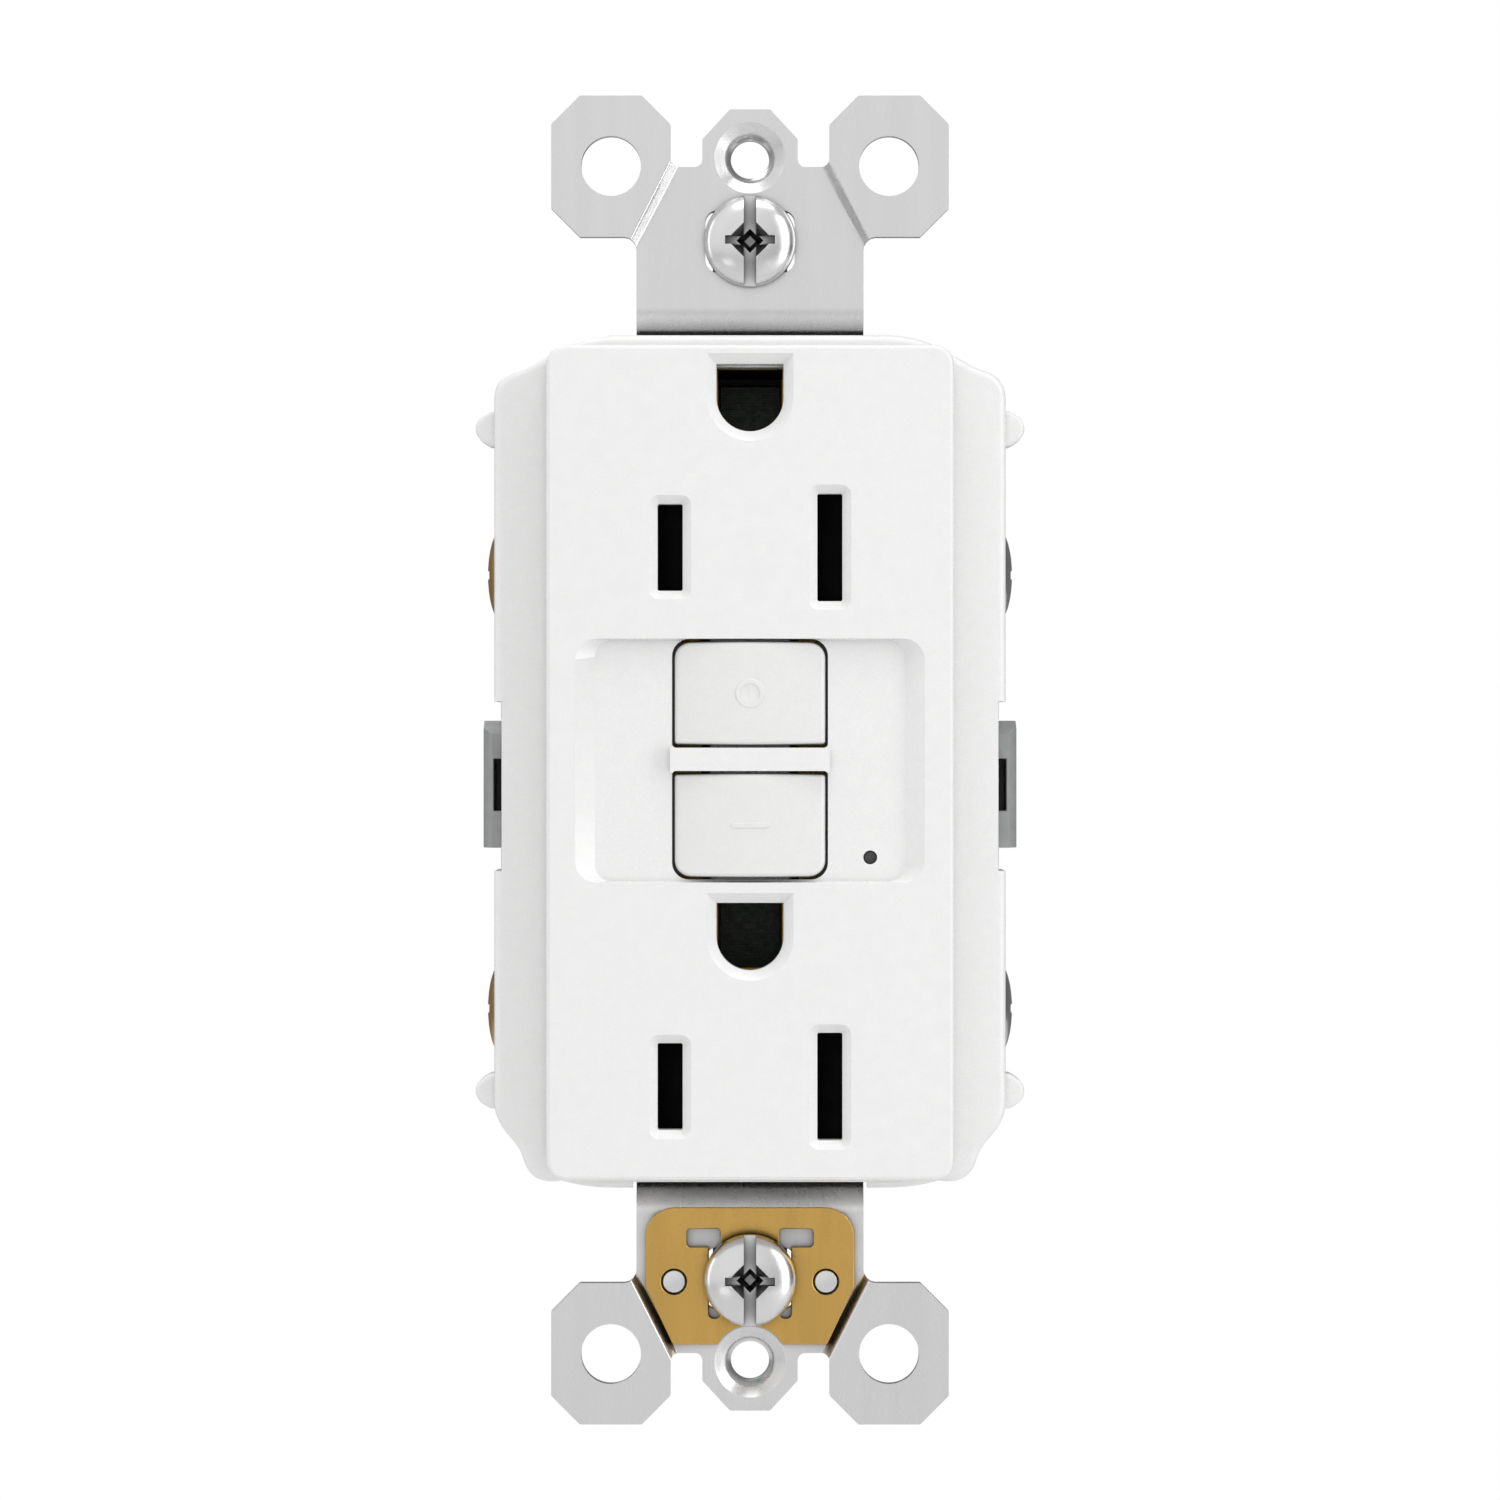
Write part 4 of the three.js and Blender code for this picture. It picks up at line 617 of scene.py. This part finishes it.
def front_cover():
    skirt = prism(cover_outline(), FLANGE_FRONT, COVER_BACK, soft_start=0.6, steps=5)
    face_outline = rectangle(-FACE_SIDE, FACE_SIDE, FACE_BOTTOM, FACE_TOP, 1.6, 10)
    face = prism(face_outline, FACE_FRONT, FLANGE_FRONT + 1.2, soft_start=0.4, steps=5)
    bumps = [snap_bump(side, z) for side in (-1, 1) for z in (-SNAP_Z, SNAP_Z)]
    shell = combine(skirt, [face, *bumps])
    hollow = prism(inset(cover_outline(), WALL), 0.0, COVER_BACK + 1)
    inner = FACE_SIDE - 1.6
    face_hollow = block(-inner, inner, FACE_FRONT + PLATE, 1, -31.4, 31.4)
    shell = combine(shell, cut=[hollow, face_hollow])
    bosses = [rod(BOSS, FLANGE_FRONT + 0.4, COVER_BACK, centre=(x, 0, z)) for x, z in SCREW_PLACES]
    rails = [
        block(-RAIL_SIDE, RAIL_SIDE, FACE_FRONT + PLATE - 0.2, -1.2, z + offset, z + offset + RAIL_HEIGHT)
        for z in OUTLET_Z for offset in RAIL_OFFSETS
    ]
    shell = combine(shell, [*bosses, *rails])
    openings = [cutter for z in OUTLET_Z for cutter in outlet_cutters(z)]
    shell = combine(shell, cut=[bay_cutter(), *openings])
    bar_side = BUTTON_SIDE + 0.16
    bar = block(-bar_side, bar_side, FACE_FRONT, BAY_FLOOR + 0.5, -1.0, 1.1)
    shell = combine(shell, [bar])
    windows = [prism(button_outline(name, 0.2), FACE_FRONT - 2, 0.5) for name in BUTTONS]
    notches = [
        block(*sorted((side * SIDE_NOTCH["x"], side * 25)), -5, 10, SIDE_NOTCH["bottom"], SIDE_NOTCH["top"])
        for side in (-1, 1)
    ]
    gap_side, gap_z = STRAP_GAP
    strap_gaps = [
        block(-gap_side, gap_side, 0.2, COVER_BACK + 1, *sorted((side * gap_z, side * 36)))
        for side in (-1, 1)
    ]
    screw_holes = [rod(SCREW_HOLE, 1.0, 8, centre=(x, 0, z)) for x, z in SCREW_PLACES]
    lamp_hole = rod(INDICATOR_RADIUS, -8, 0, centre=(INDICATOR[0], 0, INDICATOR[1]))
    relief_side, relief_top = STRAP_RELIEF
    relief = block(-relief_side, relief_side, FLANGE_FRONT - 1, COVER_BACK + 1, -36, relief_top)
    return combine(shell, cut=[*windows, *notches, *strap_gaps, *screw_holes, lamp_hole, relief])


dress(front_cover(), "cover_shell", LOOKS["white_plastic"], ["front_cover"], 0.12)

# ------------------------------------------------------------------ buttons

CROWN = 0.75


def crowned(piece, side, rise):
    """Bends the front of a cap into a shallow crown across its width."""
    shape = bmesh.new()
    shape.from_mesh(piece.data)
    for i in range(-7, 8):
        place = Vector((side * i / 8 * MM, 0, 0))
        geometry = [*shape.verts, *shape.edges, *shape.faces]
        bmesh.ops.bisect_plane(shape, geom=geometry, plane_co=place, plane_no=(1, 0, 0), dist=1e-7)
    lowest = min(v.co.y for v in shape.verts)
    for vertex in shape.verts:
        if vertex.co.y < lowest + 1.0 * MM:
            vertex.co.y += rise * MM * (vertex.co.x / (side * MM)) ** 2
    shape.to_mesh(piece.data)
    shape.free()
    return piece


def tactile_mark(name, z):
    """Raised marks in place of words: a ring for the test button and a bar for the reset one."""
    front, back = BUTTON_FRONT - 0.05, BUTTON_FRONT + 0.6
    if name == "test_button":
        ring = rod(1.15, front, back, centre=(0, 0, z), sides=48, soft=0.05)
        return combine(ring, cut=[rod(0.8, front - 1, back + 1, centre=(0, 0, z))])
    return prism(rectangle(-1.5, 1.5, z - 0.22, z + 0.22, 0.21), front, back, soft_start=0.05)


BUTTON_FRONT = corner_mm("test_button", 0).y


def button(name):
    low, high = BUTTONS[name]
    lip = (-3.3, -2.2)
    cap = prism(button_outline(name), BUTTON_FRONT, lip[1], soft_start=0.35, steps=5)
    cap = crowned(cap, BUTTON_SIDE, CROWN)
    flange = prism(rectangle(-6.9, 6.9, low + 0.3, high - 0.3, 0.4), *lip)
    cap = combine(cap, [flange, tactile_mark(name, (low + high) / 2)])
    return cap


for button_name in BUTTONS:
    dress(button(button_name), button_name + "_cap", LOOKS["button_plastic"], [button_name], 0.05)

# ------------------------------------------------------------------ strap and grounding clip

STRAP_TOP = corner_mm("mounting_strap", 1).z
THICK = 1.2
EAR_INNER, EAR_OUTER = 6.39, 15.95
EAR_BOTTOM = 41.95
EAR_FRONT, PANEL_FRONT, RUN_FRONT = -1.2, -0.2, 2.0
PANEL_SIDE = 9.13
FOLD_ANGLE = math.radians(27)
FOLD_POINT = (5.79, 47.67)
FOLD_WIDTH = 0.8
BEND = (36.4, 31.4)
PLATE_SCREW_Z, BOX_SCREW_Z = 48.4, 41.67
EAR_HOLE_X, EAR_HOLE_Z, EAR_HOLE_RADIUS = 11.15, 47.65, 2.4
STAKE_X, STAKE_Z = 6.1, -41.88


def strap_half():
    """The right half of the strap's top end, from its middle line round an ear to the bend."""
    chamfer = 2.3
    corners = [
        (0, 52.3, 0), (1.61, 52.3, 0.25), (3.83, 49.9, 0.25), (3.83, 47.67, 0.6), (EAR_INNER, 47.67, 0.6),
        (EAR_INNER, STRAP_TOP - chamfer, 0.2), (EAR_INNER + chamfer, STRAP_TOP, 0.2),
        (EAR_OUTER - chamfer, STRAP_TOP, 0.2), (EAR_OUTER, STRAP_TOP - chamfer, 0.2),
        (EAR_OUTER, EAR_BOTTOM + chamfer, 0.2), (EAR_OUTER - chamfer, EAR_BOTTOM, 0.2),
        (PANEL_SIDE, EAR_BOTTOM, 0.95), (PANEL_SIDE, 31.2, 0), (3.2, 31.2, 0), (3.2, 0, 0), (0, 0, 0),
    ]
    return rounded(corners, 4)


def strap_outline():
    half = [p for p in strap_half() if p != (0, 0)]
    right = half + [(x, -z) for x, z in reversed(half) if z > 0]
    return mirrored(right)


def fold_share(x, z):
    """How far a point is through the slanted fold between the panel and an ear, from 0 to 1."""
    across = (abs(x) - FOLD_POINT[0]) * math.cos(FOLD_ANGLE)
    across += (abs(z) - FOLD_POINT[1]) * math.sin(FOLD_ANGLE)
    return min(1.0, max(0.0, across / FOLD_WIDTH))


def smooth(t):
    return t * t * (3 - 2 * t)


def strap_depth(x, z):
    """The front surface of the strap: ears in front, the panel behind them, and the run at the back."""
    if abs(z) > BEND[0]:
        return PANEL_FRONT + (EAR_FRONT - PANEL_FRONT) * smooth(fold_share(x, z))
    share = min(1.0, (BEND[0] - abs(z)) / (BEND[0] - BEND[1]))
    return PANEL_FRONT + (RUN_FRONT - PANEL_FRONT) * smooth(share)


def sheet_metal(outline, cut_lines, depth, thickness):
    """A flat blank, scored along cut_lines, pressed to depth(x, z) and given its thickness.

    A cut line is a point and a direction across it, both in the XZ plane.
    """
    flat = new_object("blank", [(u, 0, v) for u, v in outline], [list(range(len(outline)))])
    shape = bmesh.new()
    shape.from_mesh(flat.data)
    for (x, z), (across_x, across_z) in cut_lines:
        geometry = [*shape.verts, *shape.edges, *shape.faces]
        point, normal = Vector((x, 0, z)) * MM, Vector((across_x, 0, across_z))
        bmesh.ops.bisect_plane(shape, geom=geometry, plane_co=point, plane_no=normal, dist=1e-7)
    bmesh.ops.triangulate(shape, faces=shape.faces)
    for vertex in shape.verts:
        vertex.co.y = depth(vertex.co.x / MM, vertex.co.z / MM) * MM
    edges = [e for e in shape.edges if len(e.link_faces) == 1]
    copy = bmesh.ops.duplicate(shape, geom=[*shape.verts, *shape.edges, *shape.faces])
    twin = copy["vert_map"]
    for vertex in [g for g in copy["geom"] if isinstance(g, bmesh.types.BMVert)]:
        vertex.co.y += thickness * MM
    for edge in edges:
        a, b = edge.verts
        shape.faces.new([a, b, twin[b], twin[a]])
    bmesh.ops.recalc_face_normals(shape, faces=shape.faces)
    shape.to_mesh(flat.data)
    shape.free()
    return flat


def strap_lines():
    """Score lines for the four slanted folds and the two double bends."""
    lines = []
    for sx in (-1, 1):
        for sz in (-1, 1):
            across = (sx * math.cos(FOLD_ANGLE), sz * math.sin(FOLD_ANGLE))
            for i in range(5):
                step = FOLD_WIDTH * i / 4
                point = (
                    sx * (FOLD_POINT[0] + step * math.cos(FOLD_ANGLE)),
                    sz * (FOLD_POINT[1] + step * math.sin(FOLD_ANGLE)),
                )
                lines.append((point, across))
    for sz in (-1, 1):
        for i in range(11):
            z = BEND[0] + (BEND[1] - BEND[0]) * i / 10
            lines.append(((0, sz * z), (0, 1)))
    return lines


def plate_screw_cutter(sign):
    z = sign * PLATE_SCREW_Z
    return turned([
        (0, PANEL_FRONT - 0.5), (3.1, PANEL_FRONT - 0.5),
        (2.87, PANEL_FRONT - 0.02), (2.8, PANEL_FRONT + 0.05),
        (2.05, PANEL_FRONT + 0.5), (1.97, PANEL_FRONT + 0.58),
        (1.6, PANEL_FRONT + 1.3), (1.55, PANEL_FRONT + 1.45),
        (1.55, 4.0), (0, 4.0),
    ], centre=(0, 0, z))


def mounting_strap():
    strap = sheet_metal(strap_outline(), strap_lines(), strap_depth, THICK)
    collar = [(0, 0.2), (2.35, 0.2), (2.35, 2.15), (2.2, 2.3), (0, 2.3)]
    collars = [turned(collar, centre=(0, 0, s * PLATE_SCREW_Z)) for s in (-1, 1)]
    stake = [(0, 0.2), (1.0, 0.2), (1.0, -0.62), (0.85, -0.8), (0, -0.86)]
    stakes = [turned(stake, centre=(s * STAKE_X, 0, STAKE_Z)) for s in (-1, 1)]
    sockets = [block(-5, 5, RUN_FRONT, RUN_FRONT + THICK, z + 7.3, z + 16.1) for z in OUTLET_Z]
    lug = prism(rectangle(-8.5, -0.7, 0.6, 11.4, 0.8), -36.4, -35.2, axis="z")
    strap = combine(strap, [*collars, *stakes, *sockets, lug])
    cutters = [plate_screw_cutter(s) for s in (-1, 1)]
    cutters += [
        rod(EAR_HOLE_RADIUS, -5, 5, centre=(sx * EAR_HOLE_X, 0, sz * EAR_HOLE_Z), sides=56)
        for sx in (-1, 1) for sz in (-1, 1)
    ]
    cutters += [
        prism(rectangle(-3.6, 3.6, s * BOX_SCREW_Z - 2.5, s * BOX_SCREW_Z + 2.5, 1.0), -3, 3)
        for s in (-1, 1)
    ]
    cutters += [block(-3.1, 3.1, 0, 5, z + 8.7, z + 15.1) for z in OUTLET_Z]
    cutters += [rod(2.0, -38, -34, "z", centre=(-4.6, 7.2, 0)), block(-1.6, 1.6, 0, 5, 3.7, 6.9)]
    cutters += [rod(1.7, 0, 5, centre=(0, 0, -5.18))]
    return combine(strap, cut=cutters)


dress(mounting_strap(), "strap_sheet", LOOKS["galvanised_steel"], ["mounting_strap"], 0.14)

CLIP_TOP = corner_mm("grounding_clip", 1).z
CLIP_BOTTOM = corner_mm("grounding_clip", 0).z
CLIP_SIDE = corner_mm("grounding_clip", 1).x
CLIP_BEND = -39.9
CLIP_LIFT = 1.05
CLIP_THICK = 0.6


def clip_depth(_, z):
    share = (z - CLIP_BEND) / (CLIP_TOP - CLIP_BEND)
    return PANEL_FRONT - 0.05 - CLIP_THICK - CLIP_LIFT * max(0.0, share)


def grounding_clip():
    corners = [
        (0, CLIP_TOP, 0), (CLIP_SIDE, CLIP_TOP, 2.4), (CLIP_SIDE, -42.3, 0.5), (6.2, CLIP_BOTTOM, 0.3),
        (0, CLIP_BOTTOM, 0),
    ]
    clip = sheet_metal(mirrored(rounded(corners, 8)), [((0, CLIP_BEND), (0, 1))], clip_depth, CLIP_THICK)
    cutters = []
    for side in (-1, 1):
        foot = sorted((side * 2.35, side * 5.06))
        leg = sorted((side * 2.35, side * 3.3))
        across = prism(rectangle(*foot, -39.1, -37.58, 0.3), -5, 5)
        down = prism(rectangle(*leg, -44.8, -38.2, 0.4), -5, 5)
        cutters.append(combine(across, [down]))
        cutters.append(rod(1.05, -5, 5, centre=(side * STAKE_X, 0, STAKE_Z)))
    cutters.append(rod(2.0, -5, 5, centre=(0, 0, -BOX_SCREW_Z)))
    cutters.append(rod(3.0, -5, 5, centre=(0, 0, -PLATE_SCREW_Z)))
    return combine(clip, cut=cutters)


dress(grounding_clip(), "clip_sheet", LOOKS["brass"], ["grounding_clip"], 0.08, crease=6)

# ------------------------------------------------------------------ screws

PITCH = 0.794
BOX_HEAD = 3.7
TERMINAL_HEAD = 3.8


def threaded(radius, start, end, pitch, sides=24):
    """A bar with a helical thread cut along it, on the Y axis."""
    depth = pitch * 0.55
    rows = int((end - start) / pitch * 6)
    points = []
    for row in range(rows + 1):
        station = start + (end - start) * row / rows
        for i in range(sides):
            phase = ((station - start) / pitch - i / sides) % 1
            ridge = radius - depth * abs(2 * phase - 1)
            angle = TAU * i / sides
            points.append((ridge * math.cos(angle), station, ridge * math.sin(angle)))
    faces = [list(range(sides)), list(range(rows * sides, (rows + 1) * sides))]
    for row in range(rows):
        for i in range(sides):
            j = (i + 1) % sides
            faces.append([row * sides + i, row * sides + j, (row + 1) * sides + j, (row + 1) * sides + i])
    return new_object("solid", points, faces)


def domed_head(radius, height, rim=0.45, steps=12):
    """The profile of a domed head whose top is at station zero."""
    profile = [(0, 0)]
    for i in range(1, steps + 1):
        angle = math.pi / 2 * i / steps
        profile.append((radius * math.sin(angle), (height - rim) * (1 - math.cos(angle))))
    profile += [(radius, height - 0.08), (radius - 0.08, height), (0, height)]
    return turned(profile, sides=64)


def combination_drive(radius, depth, diamond):
    """A slot across the head with a cross and a tapering square recess in the middle."""
    slot = block(-0.5, 0.5, -1, depth, -radius - 1, radius + 1)
    arm = block(-2.0, 2.0, -1, depth - 0.15, -0.34, 0.34)
    bottom = depth + 0.7
    recess = [(0, -0.3), (diamond * 1.2, -0.3), (diamond, 0.25), (0.45, bottom), (0, bottom)]
    return [slot, arm, turned(recess, sides=4)]


def box_screw(node):
    low, high = corner_mm(node, 0), corner_mm(node, 1)
    centre = middle_mm(node)
    length = high.y - low.y
    head = domed_head(BOX_HEAD, 2.1)
    shank = threaded(1.7, 1.9, length - 0.8, PITCH)
    point = [(0, length - 1.2), (1.3, length - 1.2), (1.3, length - 0.5), (0.9, length), (0, length)]
    tip = turned(point, sides=24)
    screw = combine(head, [shank, tip], combination_drive(BOX_HEAD, 1.35, 1.8))
    return moved(screw, (centre.x, low.y, centre.z))


for end in ("top", "bottom"):
    node_name = "box_screw_" + end
    dress(box_screw(node_name), "box_screw_%s_steel" % end, LOOKS["bright_steel"], [node_name], 0.05)


def terminal_screw(node, side):
    """A binding-head screw that faces out of the side, made on Y and turned on to X."""
    low, high = corner_mm(node, 0), corner_mm(node, 1)
    centre = middle_mm(node)
    length = high.x - low.x
    turns = [math.pi / 2 * i / 8 for i in range(9)]
    dome = [(TERMINAL_HEAD * math.cos(a), 1.15 - 1.15 * math.sin(a)) for a in turns]
    profile = [(0, 0)] + [(r, s) for r, s in reversed(dome) if r > 0.01]
    profile += [(TERMINAL_HEAD, 1.75), (TERMINAL_HEAD - 0.15, 1.9), (0, 1.9)]
    head = turned(profile, sides=64)
    shank = threaded(2.05, 1.7, length, PITCH)
    slot = block(-0.55, 0.55, -1, 1.05, -5, 5)
    arm = block(-2.1, 2.1, -1, 0.95, -0.36, 0.36)
    screw = combine(head, [shank], [slot, arm])
    screw.data.transform(Matrix.Rotation(side * math.pi / 2, 4, "Z"))
    outer = high.x if side > 0 else low.x
    return moved(screw, (outer, centre.y, centre.z))


for supply in ("line", "load"):
    for pole, side_sign in (("hot", -1), ("neutral", 1)):
        node_name = "%s_%s_terminal_screw" % (supply, pole)
        metal = LOOKS["brass"] if pole == "hot" else LOOKS["bright_steel"]
        dress(terminal_screw(node_name, side_sign), node_name + "_metal", metal, [node_name], 0.05)

# ------------------------------------------------------------------ springs


def coil(node, axis, wire, turns):
    """A wound wire that fills a spring's CAD box, with its last turn at each end closed flat."""
    low, high = corner_mm(node, 0), corner_mm(node, 1)
    centre = (low + high) / 2
    index = "xyz".index(axis)
    across = (index + 1) % 3
    radius = (high[across] - low[across]) / 2 - wire
    start, end = low[index] + wire, high[index] - wire
    count, sides = turns * 20, 10
    first, second = [Vector([1.0 if k == (index + step) % 3 else 0.0 for k in range(3)]) for step in (1, 2)]
    along = Vector([1.0 if k == index else 0.0 for k in range(3)])
    points = []
    for i in range(count + 1):
        share = i / count
        angle = TAU * turns * share
        lift = min(1.0, max(0.0, (share * turns - 0.8) / (turns - 1.6)))
        first_turn, last_turn = (min(1.0, part * turns / 0.8) for part in (share, 1 - share))
        closed = 0.8 * 2 * wire * (first_turn - last_turn)
        out = first * math.cos(angle) + second * math.sin(angle)
        station = start + (end - start) * lift + closed * 0.5
        core = out * radius + along * (station - centre[index])
        for k in range(sides):
            turn = TAU * k / sides
            points.append(centre + core + (out * math.cos(turn) + along * math.sin(turn)) * wire)
    faces = [list(range(sides)), list(range(count * sides, (count + 1) * sides))]
    for i in range(count):
        for k in range(sides):
            j = (k + 1) % sides
            faces.append([i * sides + k, i * sides + j, (i + 1) * sides + j, (i + 1) * sides + k])
    return new_object("coil", points, faces)


SPRINGS = {
    "reset_spring": ("y", 0.25, 5, "reset_press", (0, 0.002, 0)),
    "upper_shutter_spring": ("x", 0.18, 6, "upper_shutter_slide", (0.0145, 0, 0)),
    "lower_shutter_spring": ("x", 0.18, 6, "lower_shutter_slide", (0.0145, 0, 0)),
    "plunger_spring": ("z", 0.2, 6, "trip_pull", (0, 0, 0.01505)),
}


for spring_node, (axis, wire, turns, joint, anchor) in SPRINGS.items():
    helix = coil(spring_node, axis, wire, turns)
    wound = dress(helix, spring_node + "_wire", LOOKS["bright_steel"], [spring_node], 0)
    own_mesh(wound)

# ------------------------------------------------------------------ CAD pieces that stay

SPECIAL_LOOKS = {
    "solenoid_winding": "winding",
    # The shutters' material also paints the shade inside the slots.
    "upper_shutter": "dark_shutter_and_slot_shade",
    "lower_shutter": "dark_shutter_and_slot_shade",
    "light_pipe": "smoked_plastic",
}
EDGE_WIDTH = {"back_body": 0.25, "separator": 0.12, "circuit_board": 0.04, "light_pipe": 0.05}

for node_name, node in frame["nodes"].items():
    if node.hide_render:
        continue
    node.data.materials.clear()
    node.data.materials.append(LOOKS[SPECIAL_LOOKS.get(node_name, SLOT_OF[node_name])])
    soften(node, EDGE_WIDTH.get(node_name, 0.08))

# ------------------------------------------------------------------ floor, light and camera


def light(name, place, size, power):
    """A rectangular lamp turned towards the middle of the device; metres and watts."""
    lamp = bpy.data.lights.new(name, "AREA")
    lamp.shape = "RECTANGLE"
    lamp.size, lamp.size_y = size
    lamp.energy = power
    holder = bpy.data.objects.new(name, lamp)
    holder.location = place
    holder.rotation_euler = (-Vector(place)).to_track_quat("-Z", "Y").to_euler()
    bpy.context.scene.collection.objects.link(holder)


def studio_world():
    """A white sweep for the picture's background, and a soft tent that is brightest ahead and above."""
    world = bpy.data.worlds.new("studio")
    world.use_nodes = True
    tree = world.node_tree
    tree.nodes.clear()
    add, link = tree.nodes.new, tree.links.new
    place = add("ShaderNodeTexCoord")
    facing = add("ShaderNodeVectorMath")
    facing.operation = "DOT_PRODUCT"
    facing.inputs[1].default_value = Vector((-0.55, -0.8, 0.68)).normalized()
    link(place.outputs["Generated"], facing.inputs[0])
    ramp = add("ShaderNodeMapRange")
    ramp.interpolation_type = "SMOOTHSTEP"
    ramp.inputs["From Min"].default_value = -0.5
    ramp.inputs["From Max"].default_value = 1.0
    ramp.inputs["To Min"].default_value = 0.16
    ramp.inputs["To Max"].default_value = 1.0
    link(facing.outputs["Value"], ramp.inputs["Value"])
    tent, backdrop = add("ShaderNodeBackground"), add("ShaderNodeBackground")
    tent.inputs["Color"].default_value = (1, 1, 1, 1)
    link(ramp.outputs["Result"], tent.inputs["Strength"])
    backdrop.inputs["Color"].default_value = (1, 1, 1, 1)
    backdrop.inputs["Strength"].default_value = 1.0
    path, mix, output = add("ShaderNodeLightPath"), add("ShaderNodeMixShader"), add("ShaderNodeOutputWorld")
    link(path.outputs["Is Camera Ray"], mix.inputs["Fac"])
    link(tent.outputs["Background"], mix.inputs[1])
    link(backdrop.outputs["Background"], mix.inputs[2])
    link(mix.outputs["Shader"], output.inputs["Surface"])
    bpy.context.scene.world = world


def studio_floor():
    """A pale floor, well below the piece."""
    half, drop = 900, 200
    floor = prism(rectangle(-half, half, -half, half, 60), -drop - 4, -drop, axis="z")
    floor.name = "studio_floor"
    look = surface("floor_paint", (0.86, 0.86, 0.86), 0.7, 0.5, 0.02, variation=0.01)
    floor.data.materials.append(look.material)


def camera():
    """The photograph's straight front view."""
    lens = bpy.data.cameras.new("camera")
    lens.lens = 137.3
    lens.sensor_width = 36
    lens.clip_start = 0.01
    holder = bpy.data.objects.new("camera", lens)
    holder.location = (0, -0.46, 0.0008)
    holder.rotation_euler = (math.pi / 2, 0, 0)
    bpy.context.scene.collection.objects.link(holder)
    bpy.context.scene.camera = holder


studio_world()
studio_floor()
light("key_right", (0.46, -0.26, 0.08), (0.2, 0.7), 1.3)
light("key_top", (0.05, -0.16, 0.52), (0.5, 0.18), 0.8)
light("rim_left", (-0.5, -0.04, 0.1), (0.06, 0.5), 0.16)
light("low_left", (-0.26, -0.36, -0.24), (0.15, 0.15), 0.14)
light("low_right", (0.24, -0.38, -0.26), (0.15, 0.15), 0.14)
light("behind", (-0.2, 0.5, 0.4), (0.3, 0.3), 0.8)
camera()
bpy.context.scene.view_settings.view_transform = "Standard"
